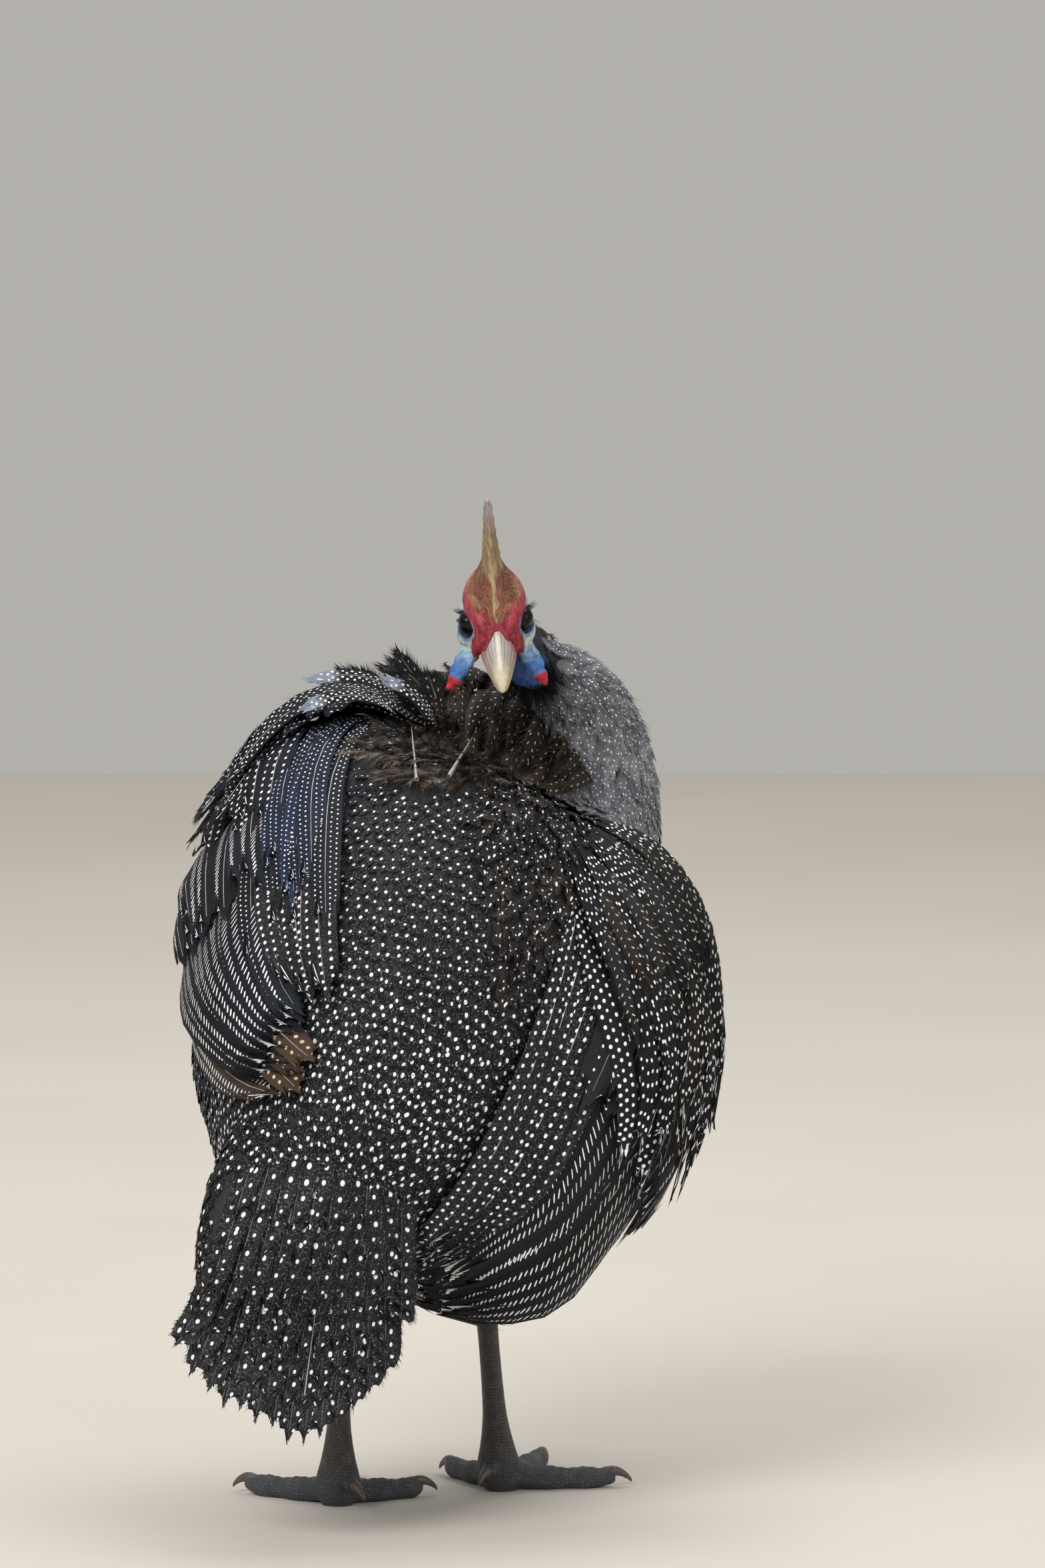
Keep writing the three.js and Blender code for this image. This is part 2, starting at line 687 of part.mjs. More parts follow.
// The tail: a covered stump with two tiers of coverts over a fan of long vanes
const TAIL = {
  root: [-33, -70, 172],
  end: [-50, -116, 92],
  tip: [-51, -134, 50],
  halfWidth: 44,
};
function tailStump(grow = 0) {
  return tube(
    [
      [TAIL.root, 40, 30],
      [[-42, -97, 140], 47, 25],
      [[-48, -112, 112], 46, 15],
      [TAIL.end, 40, 7],
    ],
    14,
    vec(1, 0.25, 0.1),
    { grow },
  );
}
const tailOut = vec(-0.12, -0.9, 0.42).normalize();

// Tiers of the tail: how many vanes, their share of the tail's length, width, lift at root and tip,
// and how much shorter the outermost are
const TAIL_TIERS = [
  { count: 12, from: 0.6, to: 1.02, width: 13, lift: [-2, 1], shorter: 21 },
  { count: 8, from: 0.38, to: 0.87, width: 17, lift: [4, 5.5], shorter: 16 },
  { count: 6, from: 0.18, to: 0.68, width: 20, lift: [6, 11], shorter: 11 },
];
function tailVane(share, { from, to, width, lift, shorter }, slip) {
  const [rx, ry, rz] = TAIL.root;
  const [tx, ty, tz] = TAIL.tip;
  const rows = 4;
  const shaft = [];
  for (let row = 0; row < rows; row += 1) {
    const step = row / (rows - 1);
    const down = lerp(from, to + slip, step);
    const spread = lerp(0.62, 1, down) * share * (TAIL.halfWidth + 4);
    const roof = 12 * share * share - lerp(...lift, step) * (1 - 0.5 * Math.abs(share));
    const point = vec(
      lerp(rx, tx, down) + spread,
      lerp(ry, ty, down ** 0.8) + roof,
      lerp(rz, tz, down) + shorter * share * share * step,
    );
    shaft.push({ at: point, out: plus(tailOut, [vec(1, 0, 0), share * 0.5]) });
  }
  return vane(shaft, width, { tilt: 1.3 });
}
function tail() {
  const draw = makeDraw(7);
  const pieces = [tailStump()];
  for (const tier of TAIL_TIERS) {
    for (let index = 0; index < tier.count; index += 1) {
      const share = (index / (tier.count - 1)) * 2 - 1;
      pieces.push(tailVane(share * 0.96, tier, draw() * 0.02));
    }
  }
  return unite(pieces);
}

// A folded wing: a pad of small coverts over the flank, under tiers of vanes that point to the tail.
// inner and outer are the pad's edges round the body at its front and rear, swell is its thickness
// by lat. Each tier's vanes run from places on one line to places on another, given as [lat, round]
// at the two ends, with a lift above the pad at root, middle and tip.
const WINGS = {
  left: {
    sign: -1,
    front: 57,
    rear: -32,
    inner: [14, 36],
    outer: [104, 112],
    swell: [
      [-50, 3],
      [-30, 5],
      [0, 7],
      [30, 9],
      [57, 4],
    ],
    tiers: [
      {
        count: 3,
        roots: [[0, 96], [0, 84]],
        tips: [[-50, 92], [-53, 72]],
        width: 14,
        lifts: [-5, 1, 0],
      },
      {
        count: 9,
        roots: [[10, 112], [12, 38]],
        tips: [[-30, 106], [-42, 30]],
        width: 19,
        lifts: [-5, 3, 3.5],
      },
      {
        count: 6,
        roots: [[26, 108], [28, 42]],
        tips: [[-2, 106], [-12, 38]],
        width: 25,
        lifts: [-5, 5.5, 6],
      },
      {
        count: 5,
        roots: [[42, 102], [40, 48]],
        tips: [[20, 104], [12, 46]],
        width: 26,
        lifts: [-5, 8, 9.5],
      },
      // The scapulars, thrown outwards over the shoulder
      {
        count: 6,
        roots: [[54, 28], [30, 38]],
        tips: [[42, 88], [0, 72]],
        width: 18,
        lifts: [-4, 11, 14],
      },
    ],
  },
  right: {
    sign: 1,
    front: 42,
    rear: -46,
    inner: [36, 62],
    outer: [112, 124],
    swell: [
      [-62, 10],
      [-40, 14],
      [-10, 19],
      [20, 11],
      [42, 4],
    ],
    tiers: [
      {
        count: 3,
        roots: [[-14, 110], [-14, 96]],
        tips: [[-66, 116], [-71, 94]],
        width: 14,
        lifts: [-6, 1, 1],
      },
      {
        count: 10,
        roots: [[10, 118], [12, 50]],
        tips: [[-52, 128], [-62, 66]],
        width: 19,
        lifts: [-5, 3, 5],
      },
      {
        count: 6,
        roots: [[24, 112], [26, 54]],
        tips: [[-18, 118], [-30, 60]],
        width: 25,
        lifts: [-5, 5.5, 7],
      },
      {
        count: 5,
        roots: [[36, 104], [34, 56]],
        tips: [[6, 110], [-4, 62]],
        width: 26,
        lifts: [-5, 8, 10],
      },
      // The tertials and scapulars, fallen outwards over the wing
      {
        count: 6,
        roots: [[36, 54], [8, 66]],
        tips: [[10, 96], [-34, 106]],
        width: 19,
        lifts: [-4, 10, 13],
      },
    ],
  },
};
function padHeight({ sign, front, rear, inner, outer, swell }, lat, round) {
  const back = THREE.MathUtils.clamp((front - lat) / (front - rear), 0, 1.3);
  const [from, to] = [lerp(...inner, back), lerp(...outer, back)];
  const down = (sign * round - from) / (to - from);
  const edge = Math.min(smooth(down, 0, 0.3), smooth(1 - down, -0.3, 0.25));
  return 1.2 + (along(swell, lat) - 1.2) * edge;
}
function wingPad(shape) {
  const { sign, front, rear, inner, outer } = shape;
  const [rows, columns] = [7, 7];
  const top = [];
  const bottom = [];
  for (let row = 0; row < rows; row += 1) {
    const back = row / (rows - 1);
    const lat = lerp(front, rear, back);
    const pinch = 0.16 * (1 - Math.sin(Math.PI * Math.min(1, back * 0.9 + 0.12)));
    const upper = [];
    const lower = [];
    for (let column = 0; column < columns; column += 1) {
      const share = lerp(pinch, 1 - pinch, column / (columns - 1));
      const round = sign * lerp(lerp(...inner, back), lerp(...outer, back), share);
      upper.push(trunkAt(lat, round, padHeight(shape, lat, round)));
      lower.push(trunkAt(lat, round, -3));
    }
    top.push(upper);
    bottom.push(lower);
  }
  return betweenGrids(top, bottom);
}

// A row of vanes whose roots and tips lie between two ends each
function* rowOfVanes({ count, roots, tips }, draw, slip) {
  for (let index = 0; index < count; index += 1) {
    const share = index / (count - 1);
    const ends = [roots, tips].map(([from, to], end) => [
      lerp(from[0], to[0], share) + draw() * slip * end,
      lerp(from[1], to[1], share) + draw() * slip * end,
    ]);
    yield { root: ends[0], tip: ends[1], index };
  }
}
const turned = ([lat, round], sign) => [lat, sign * round];

function wing(side) {
  const shape = WINGS[side];
  const { sign } = shape;
  const draw = makeDraw(side === "left" ? 11 : 23);
  const pieces = [wingPad(shape)];
  for (const tier of shape.tiers) {
    const marks = tier.lifts.map((lift, step) => [step / 2, lift]);
    for (const { root, tip, index } of rowOfVanes(tier, draw, 1.5)) {
      const heightAt = (share, lat, round) =>
        Math.max(1, padHeight(shape, lat, round) + along(marks, share)) + (index % 2) * 0.3;
      pieces.push(
        bodyVane(turned(root, sign), turned(tip, sign), tier.width, heightAt, { tilt: -1.5 * sign }),
      );
    }
  }
  return unite(pieces);
}

// The mantle's feathers: an arch of them hangs over the parting, and a few stand up beside the head
const ARCH = { count: 7, roots: [[66, -52], [62, 44]], tips: [[53, -40], [48, 36]], width: 17 };
const ARCH_LIFTS = [
  [0, -2],
  [0.5, 6],
  [1, 9],
];
const RAISED = { count: 5, length: 38, width: 12, from: -64, to: -28, lat: 64 };
function mantle(grow = 0) {
  const draw = makeDraw(41);
  const pieces = [];
  for (const { root, tip } of rowOfVanes(ARCH, draw, 2)) {
    pieces.push(bodyVane(root, tip, ARCH.width, (share) => along(ARCH_LIFTS, share), { grow, tilt: 1 }));
  }
  for (let index = 0; index < RAISED.count; index += 1) {
    const share = index / (RAISED.count - 1);
    const foot = trunkAt(RAISED.lat + draw() * 3, lerp(RAISED.from, RAISED.to, share), -5);
    const course = vec(lerp(-0.95, -0.7, share), draw() * 0.2, lerp(0.3, 0.6, share)).normalize();
    const length = RAISED.length * (1 + draw() * 0.12);
    const shaft = [0, 0.35, 0.7, 1].map((step) => ({
      at: plus(foot, [course, length * step], [vec(0, 0, -1), 7 * step * step]),
      out: vec(-0.2, -0.6, 0.75),
    }));
    pieces.push(vane(shaft, RAISED.width, { grow, tilt: 1 }));
  }
  return unite(pieces);
}

// Colours of the parts
const paint = (color, roughness) => new THREE.MeshStandardMaterial({ color, roughness, metalness: 0 });
const PLUMAGE = paint(0x1d1e22, 0.75);
const HACKLE = paint(0x6d6c70, 0.8);
const BLUE_SKIN = paint(0x4f7fb8, 0.6);
const FACE_SKIN = paint(0xb9d5d8, 0.6);
const HORN = paint(0xa98a5e, 0.6);
const BILL_HORN = paint(0xb8b2a2, 0.45);
const EYE_DARK = paint(0x17100c, 0.1);
const LEG_SKIN = paint(0x3a3c40, 0.7);
const CLAW_HORN = paint(0x35363b, 0.4);

const bird = new THREE.Group();
function add(name, solid, material) {
  const made = largest(solid).getMesh();
  const places = new Float32Array(made.numVert * 3);
  for (let i = 0; i < made.numVert; i += 1) {
    places.set(made.vertProperties.subarray(i * made.numProp, i * made.numProp + 3), i * 3);
  }
  const geometry = new THREE.BufferGeometry();
  geometry.setAttribute("position", new THREE.BufferAttribute(places, 3));
  geometry.setIndex(new THREE.BufferAttribute(new Uint32Array(made.triVerts), 1));
  geometry.computeVertexNormals();
  const mesh = new THREE.Mesh(geometry, material);
  mesh.name = name;
  bird.add(mesh);
}

const neckLowerRoom = neckSpan(0, FEATHERED_NECK, GAP);
const trunkRoom = trunk(GAP).add(mantle(GAP));
add("torso", trunk().add(mantle()), PLUMAGE);
add("neck_lower", neckSpan(0, FEATHERED_NECK).subtract(trunkRoom), HACKLE);
add("neck_upper", bareNeck().subtract(neckLowerRoom), BLUE_SKIN);
add("head", head(), FACE_SKIN);
const eyeRoom = eyeball(-1, GAP).add(eyeball(1, GAP));
add("casque", casque().subtract(eyeRoom).subtract(upperBill(GAP)), HORN);
add("bill_upper", upperBill(), BILL_HORN);
add("bill_lower", lowerBill(), BILL_HORN);
for (const [name, sign] of [
  ["left", 1],
  ["right", -1],
]) {
  add(`eye_${name}`, eyeball(sign), EYE_DARK);
  add(`wattle_${name}`, wattle(sign), BLUE_SKIN);
}
const tailRoom = tailStump(GAP);
add("tail", tail().subtract(trunkRoom), PLUMAGE);
for (const side of ["left", "right"]) {
  const room = foot(side, GAP).subtract(floorBlock);
  const feathers = wing(side).subtract(trunkRoom).subtract(neckLowerRoom).subtract(tailRoom);
  add(`wing_${side}`, feathers, PLUMAGE);
  add(`thigh_${side}`, thigh(side).subtract(trunkRoom), PLUMAGE);
  add(`shank_${side}`, shank(side).subtract(thigh(side, GAP)), LEG_SKIN);
  add(`foot_${side}`, foot(side).subtract(floorBlock), LEG_SKIN);
  for (const each of TOES[side]) {
    add(`claw_${side}_${each.name}`, claw(FOOT[side], each).subtract(room), CLAW_HORN);
  }
}

// The origin moves to the middle of the whole box, on the floor
const box = new THREE.Box3().setFromObject(bird);
const middle = box.getCenter(vec(0, 0, 0));
for (const mesh of bird.children) mesh.geometry.translate(-middle.x, -middle.y, 0);

export default bird;
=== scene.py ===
import logging
import math
from dataclasses import dataclass, replace
from enum import Enum
from itertools import product
from typing import Callable, Optional, Sequence, Union

import bpy
import numpy as np
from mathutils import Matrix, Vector
from mathutils.bvhtree import BVHTree


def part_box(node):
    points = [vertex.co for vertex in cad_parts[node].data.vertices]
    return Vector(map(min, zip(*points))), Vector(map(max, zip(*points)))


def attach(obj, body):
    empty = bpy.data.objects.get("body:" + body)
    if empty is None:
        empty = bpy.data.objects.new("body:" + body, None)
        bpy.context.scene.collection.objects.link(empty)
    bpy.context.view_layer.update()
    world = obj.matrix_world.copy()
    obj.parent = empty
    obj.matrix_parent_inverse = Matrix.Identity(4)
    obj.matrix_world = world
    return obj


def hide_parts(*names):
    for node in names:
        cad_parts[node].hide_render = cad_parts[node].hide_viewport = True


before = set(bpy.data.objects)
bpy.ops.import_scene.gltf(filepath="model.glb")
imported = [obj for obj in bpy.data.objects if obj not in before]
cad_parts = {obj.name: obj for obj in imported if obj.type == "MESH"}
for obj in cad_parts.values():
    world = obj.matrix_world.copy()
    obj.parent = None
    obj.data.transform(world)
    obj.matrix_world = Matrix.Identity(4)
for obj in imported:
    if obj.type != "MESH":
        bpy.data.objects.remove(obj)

log = logging.getLogger("guinea_fowl")
Array = np.ndarray
Marks = Sequence[tuple[float, ...]]
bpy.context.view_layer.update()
RNG = np.random.default_rng(20261125)


class Slot(Enum):
    """Names of the material slots, which the coat's batches keep."""

    PLUMAGE = "plumage"
    HACKLE = "hackle"
    BLUE_SKIN = "blue_skin"
    FACE_SKIN = "face_skin"
    CASQUE_HORN = "casque_horn"
    BILL_HORN = "bill_horn"
    EYE = "eye"
    LEG_SKIN = "leg_skin"
    CLAW_HORN = "claw_horn"


def linear(colour: str) -> tuple[float, float, float]:
    """Turns an sRGB hex colour into linear light.

    Args:
        colour: six hex digits, as in "b08a55".

    Returns:
        Red, green and blue from 0 to 1.
    """
    parts = [int(colour[i : i + 2], 16) / 255 for i in (0, 2, 4)]
    return tuple(c / 12.92 if c <= 0.04045 else ((c + 0.055) / 1.055) ** 2.4 for c in parts)


def unit(vectors: Array) -> Array:
    """Scales vectors to length 1.

    Args:
        vectors: an array whose last axis is x, y, z.

    Returns:
        The same directions with length 1.
    """
    return vectors / np.maximum(np.linalg.norm(vectors, axis=-1, keepdims=True), 1e-9)


def dot(a: Array, b: Array) -> Array:
    """The dot product along the last axis, kept as an axis of its own."""
    return np.sum(a * b, axis=-1, keepdims=True)


def smooth(value: Array, low: float, high: float) -> Array:
    """A smooth step from 0 at low to 1 at high."""
    t = np.clip((np.asarray(value, float) - low) / (high - low), 0, 1)
    return t * t * (3 - 2 * t)


def along(marks: Marks, place: Array) -> Array:
    """A smooth curve through marks.

    Args:
        marks: rows of a place and one or more values.
        place: where to read the curve.

    Returns:
        The value at each place, or a vector of values if the marks hold several.
    """
    table = np.array(marks, float)
    xs, ys = table[:, 0], table[:, 1:]
    place = np.asarray(place, float)
    slope = np.empty_like(ys)
    slope[1:-1] = (ys[2:] - ys[:-2]) / (xs[2:] - xs[:-2])[:, None]
    slope[0] = (ys[1] - ys[0]) / (xs[1] - xs[0])
    slope[-1] = (ys[-1] - ys[-2]) / (xs[-1] - xs[-2])
    i = np.clip(np.searchsorted(xs, place) - 1, 0, len(xs) - 2)
    span = (xs[i + 1] - xs[i])[..., None]
    t = np.clip((place - xs[i])[..., None] / span, 0, 1)
    result = (
        (2 * t**3 - 3 * t**2 + 1) * ys[i]
        + (t**3 - 2 * t**2 + t) * slope[i] * span
        + (3 * t**2 - 2 * t**3) * ys[i + 1]
        + (t**3 - t**2) * slope[i + 1] * span
    )
    return result[..., 0] if ys.shape[1] == 1 else result


def columns(marks: Marks, place: Array) -> Array:
    """The smooth curves through marks of several values, as one array for each value."""
    return np.moveaxis(along(marks, place), -1, 0)


def circle(count: int) -> Array:
    """Angles spread evenly round a circle, in radians."""
    return np.linspace(0, 2 * math.pi, count, endpoint=False)


def points_from(*parts: Array) -> Array:
    """Points from their three coordinates, which are first spread to one shape."""
    return np.stack(np.broadcast_arrays(*parts), axis=-1)


def rotation(axis: int, degrees: float) -> Array:
    """The 3 x 3 matrix of a turn round one of the main axes."""
    c, s = math.cos(math.radians(degrees)), math.sin(math.radians(degrees))
    first, second = [(1, 2), (2, 0), (0, 1)][axis]
    matrix = np.eye(3)
    matrix[first, first] = matrix[second, second] = c
    matrix[first, second], matrix[second, first] = -s, s
    return matrix


@dataclass(frozen=True)
class Swell:
    """A swell or hollow of the ruffled plumage, on the body's own latitude and turn."""

    lat: float
    turn: float
    out: float
    lats: float
    turns: float


@dataclass(frozen=True)
class Trunk:
    """The egg-shaped body under the plumage, pitched up and turned away. Millimetres and degrees."""

    centre: tuple[float, float, float] = (5, 12, 207)
    yaw: float = 22
    pitch: float = 40
    roll: float = 15
    front: float = 132
    rear: float = 138
    side: float = 91
    back: float = 99
    belly: float = 92
    swells: tuple[Swell, ...] = (
        Swell(47, 8, -26, 10, 34),
        Swell(66, -22, 26, 13, 62),
        Swell(24, 0, 6, 14, 38),
        Swell(42, -60, 22, 18, 28),
        Swell(14, -88, 8, 26, 24),
        Swell(26, 74, 6, 24, 26),
        Swell(-16, 100, 9, 26, 26),
        Swell(58, 105, 12, 20, 40),
        Swell(-62, -30, 9, 20, 60),
        Swell(-50, 180, -6, 25, 50),
    )

    def axes(self) -> tuple[Array, Array, Array]:
        """The ways forward, out of the back and to the bird's right."""
        yaw, pitch, roll = (math.radians(a) for a in (self.yaw, self.pitch, self.roll))
        flat = math.cos(pitch)
        forward = np.array([flat * math.sin(yaw), flat * math.cos(yaw), math.sin(pitch)])
        level = np.array([math.cos(yaw), -math.sin(yaw), 0.0])
        upright = unit(np.cross(level, forward))
        dorsal = upright * math.cos(roll) + level * math.sin(roll)
        rightward = level * math.cos(roll) - upright * math.sin(roll)
        return forward, dorsal, rightward

    def base(self, lat: Array, turn: Array) -> Array:
        """Points on the body's surface.

        Args:
            lat: from -90 at the tail's end to 90 at the breast.
            turn: round the body, 0 on the back and positive to the bird's right.

        Returns:
            The points, in millimetres.
        """
        forward, dorsal, rightward = self.axes()
        lat, turn = np.broadcast_arrays(np.asarray(lat, float), np.asarray(turn, float))
        l, r = np.radians(lat), np.radians(turn)
        reach = np.maximum(np.cos(l), 0) ** 0.88
        length = np.sin(l) * np.where(lat > 0, self.front, self.rear)
        rise = np.cos(r) * np.where(np.cos(r) > 0, self.back, self.belly) * reach
        swell = np.zeros_like(l)
        for s in self.swells:
            gap = (turn - s.turn + 180) % 360 - 180
            swell = swell + s.out * np.exp(-(((lat - s.lat) / s.lats) ** 2) - (gap / s.turns) ** 2)
        length = length + swell * np.sin(l)
        rise = rise + swell * np.cos(r) * np.cos(l)
        aside = np.sin(r) * (self.side * reach + swell * np.cos(l))
        return (
            np.array(self.centre)
            + length[..., None] * forward
            + rise[..., None] * dorsal
            + aside[..., None] * rightward
        )

    def normal(self, lat: Array, turn: Array) -> Array:
        """The way out of the surface at a place on the body."""
        lat = np.clip(lat, -88, 88)
        ahead = self.base(lat + 0.5, turn) - self.base(lat - 0.5, turn)
        around = self.base(lat, turn + 0.5) - self.base(lat, turn - 0.5)
        return unit(np.cross(around, ahead))

    def at(self, lat: Array, turn: Array, height: Array = 0.0) -> Array:
        """A point at a height over the surface."""
        return self.base(lat, turn) + self.normal(lat, turn) * np.asarray(height, float)[..., None]


@dataclass(frozen=True)
class Limb:
    """A round or oval tube through stations of a point, a half width and a half depth."""

    stations: tuple[tuple[float, ...], ...]
    sideways: tuple[float, float, float] = (1, 0, 0)

    def frame(self, share: Array) -> tuple[Array, Array, Array, Array, Array]:
        """Centre, course, across, deep and the two half sizes at shares of the length."""
        places = np.linspace(0, 1, len(self.stations))
        marks = [(place, *station) for place, station in zip(places, self.stations)]
        share = np.asarray(share, float)
        here = along(marks, share)
        before, after = (along(marks, np.clip(share + step, 0, 1))[..., :3] for step in (-0.004, 0.004))
        course = unit(after - before)
        aside = np.array(self.sideways, float)
        across = unit(aside - course * dot(course, aside))
        return here[..., :3], course, across, np.cross(course, across), here[..., 3:5]

    def at(self, share: Array, angle: Array, grow: Array = 0.0) -> Array:
        """Points on the tube's surface at shares of its length and angles in degrees."""
        share, angle, grow = np.broadcast_arrays(*(np.asarray(v, float) for v in (share, angle, grow)))
        centre, _, across, deep, sizes = self.frame(share)
        a = np.radians(angle)[..., None]
        wide, high = (sizes[..., k : k + 1] + grow[..., None] for k in (0, 1))
        return centre + across * np.cos(a) * wide + deep * np.sin(a) * high


@dataclass(frozen=True)
class HeadFrame:
    """The turned head's own axes. Places on it are ahead, to the viewer's right, and up."""

    centre: tuple[float, float, float] = (34.6, 20, 376.5)
    pitch: float = 39
    roll: float = -4.5
    yaw: float = 2
    eye: tuple[float, float, float] = (4.8, 10.4, 2.4)

    def axes(self) -> Array:
        """Rows for the ways ahead along the bill, to the viewer's right, and up."""
        turn = rotation(2, self.yaw) @ rotation(1, self.roll) @ rotation(0, self.pitch)
        return np.array([turn @ [0, -1, 0], turn @ [1, 0, 0], turn @ [0, 0, 1]])

    def out(self, local: Array) -> Array:
        """From places on the head to millimetres."""
        return np.array(self.centre) + np.asarray(local, float) @ self.axes()

    def into(self, points: Array) -> Array:
        """From millimetres to places on the head."""
        return (np.asarray(points, float) - np.array(self.centre)) @ self.axes().T


@dataclass(frozen=True)
class WingPad:
    """The fleshy part of a folded wing, as a swell of the body's side."""

    sign: int
    front: float
    rear: float
    inner: tuple[float, float]
    outer: tuple[float, float]
    swell: Marks

    def height(self, lat: Array, turn: Array) -> Array:
        """How far the pad stands out of the body at a place on it, and 0 beside it."""
        share = (self.front - np.asarray(lat, float)) / (self.front - self.rear)
        back = np.clip(share, 0, 1.3)
        start = self.inner[0] + (self.inner[1] - self.inner[0]) * back
        end = self.outer[0] + (self.outer[1] - self.outer[0]) * back
        down = (self.sign * np.asarray(turn, float) - start) / (end - start)
        edge = smooth(down, -0.05, 0.3) * smooth(1 - down, -0.1, 0.25)
        ends = smooth(share, -0.12, 0.1) * smooth(1 - share, -0.12, 0.1)
        return along(self.swell, lat) * edge * ends


TRUNK = Trunk()
HEAD = HeadFrame()
PADS = {
    "left": WingPad(-1, 57, -32, (14, 36), (104, 112), ((-50, 3), (-30, 5), (0, 7), (30, 9), (57, 4))),
    "right": WingPad(1, 42, -46, (36, 62), (112, 124), ((-62, 10), (-40, 14), (-10, 19), (20, 11), (42, 4))),
}
NECK = Limb(
    (
        (34, 52, 224, 50, 46),
        (54, 78, 262, 55, 48),
        (68, 82, 298, 42, 38),
        (71, 70, 327, 28, 27),
        (64, 57, 345, 20, 19),
        (51, 45, 356, 12.5, 13),
        (42, 38, 367, 10, 11.5),
        (36, 30, 375, 8, 8.5),
    ),
    (1, -0.2, 0),
)
TAIL_STUMP = Limb(
    ((-33, -70, 172, 40, 30), (-42, -97, 140, 47, 25), (-48, -112, 112, 46, 15), (-50, -116, 92, 40, 7)),
    (1, 0.25, 0.1),
)
ANKLES = {"left": (-31, -52, 90), "right": (30, -18, 90)}


def thigh_limb(side: str) -> Limb:
    """The feathered shin of one leg, from inside the flank down to the heel joint."""
    x, y, z = ANKLES[side]
    out = 1 if x > 0 else -1
    return Limb(
        (
            (x + out * 4, y + 54, z + 84, 26, 30),
            (x + out * 5, y + 44, z + 50, 27, 31),
            (x + out * 2, y + 17, z + 15, 15, 17),
            (x, y + 1, z - 2, 8, 8.6),
            (x, y + 1, z - 9, 6.4, 7.4),
        )
    )


THIGHS = {side: thigh_limb(side) for side in ANKLES}


def trunk_height(lat: Array, turn: Array) -> Array:
    """How far the wings' pads raise the body's surface at a place."""
    turn = (np.asarray(turn, float) + 180) % 360 - 180
    return np.maximum(PADS["left"].height(lat, turn), PADS["right"].height(lat, turn))


def eye_place(sign: int) -> Array:
    """The centre of an eye, with sign 1 for the one on the viewer's right."""
    ahead, aside, up = HEAD.eye
    return HEAD.out([ahead, sign * aside, up])


def find_shift() -> Array:
    """How far the frame's origin lies from this script's own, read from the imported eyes."""
    found = []
    for name, sign in (("eye_left", 1), ("eye_right", -1)):
        low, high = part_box(name)
        found.append((np.array(low) + np.array(high)) * 500 - eye_place(sign))
    shift = (found[0] + found[1]) / 2
    shift[2] = 0
    return shift


SHIFT = find_shift()


def read(items: Sequence, name: str, width: int = 1) -> Array:
    """One attribute of all of a mesh's points or faces, as rows of the given width."""
    flat = np.empty(len(items) * width)
    items.foreach_get(name, flat)
    return flat.reshape(-1, width)


def points_of(piece: bpy.types.Object) -> Array:
    """A piece's points in millimetres, in this script's own place."""
    return read(piece.data.vertices, "co", 3) * 1000 - SHIFT


def move_points(piece: bpy.types.Object, points: Array) -> None:
    """Puts a piece's points at new places in millimetres."""
    piece.data.vertices.foreach_set("co", ((points + SHIFT) / 1000).ravel())
    piece.data.update()


def new_piece(name: str, points: Array, faces: Sequence) -> bpy.types.Object:
    """Makes a mesh piece from points in millimetres and faces over their numbers."""
    mesh = bpy.data.meshes.new(name)
    mesh.from_pydata(((points + SHIFT) / 1000).tolist(), [], faces)
    piece = bpy.data.objects.new(name, mesh)
    bpy.context.scene.collection.objects.link(piece)
    return piece


def tube_faces(rings: int, sides: int) -> list[list[int]]:
    """Quads of a tube of rings of points."""
    faces = []
    for start in range(0, (rings - 1) * sides, sides):
        for side in range(sides):
            following = (side + 1) % sides
            faces.append([start + side, start + following, start + sides + following, start + sides + side])
    return faces


def solid(name: str, rings: Array) -> bpy.types.Object:
    """A closed mesh piece over rings of points, with a fan over each end and its normals outwards.

    Args:
        name: the piece's name.
        rings: an array of rings, sides and x, y, z, in millimetres.

    Returns:
        The piece.
    """
    count, sides, _ = rings.shape
    points = np.concatenate([rings.reshape(-1, 3), rings[0].mean(0)[None], rings[-1].mean(0)[None]])
    faces = tube_faces(count, sides)
    start, end, last = count * sides, count * sides + 1, (count - 1) * sides
    for side in range(sides):
        following = (side + 1) % sides
        faces += [[start, following, side], [end, last + side, last + following]]
    piece = new_piece(name, points, faces)
    turn_outwards(piece)
    return piece


def only(piece: bpy.types.Object) -> None:
    """Selects one object and makes it active."""
    bpy.ops.object.select_all(action="DESELECT")
    piece.select_set(True)
    bpy.context.view_layer.objects.active = piece


def turn_outwards(piece: bpy.types.Object) -> None:
    """Merges doubled points and turns all normals outwards."""
    only(piece)
    bpy.ops.object.mode_set(mode="EDIT")
    bpy.ops.mesh.select_all(action="SELECT")
    bpy.ops.mesh.remove_doubles(threshold=1e-6)
    bpy.ops.mesh.normals_make_consistent(inside=False)
    bpy.ops.object.mode_set(mode="OBJECT")
    piece.data.shade_smooth()


def modify(piece: bpy.types.Object, kind: str, **settings: object) -> None:
    """Adds a modifier with its settings and applies it."""
    only(piece)
    modifier = piece.modifiers.new(kind.lower(), kind)
    for key, value in settings.items():
        setattr(modifier, key, value)
    bpy.ops.object.modifier_apply(modifier=modifier.name)


def join(pieces: Sequence[bpy.types.Object], name: str) -> bpy.types.Object:
    """Joins pieces into the first one under a new name."""
    only(pieces[0])
    for piece in pieces:
        piece.select_set(True)
    bpy.ops.object.join()
    pieces[0].name = pieces[0].data.name = name
    return pieces[0]


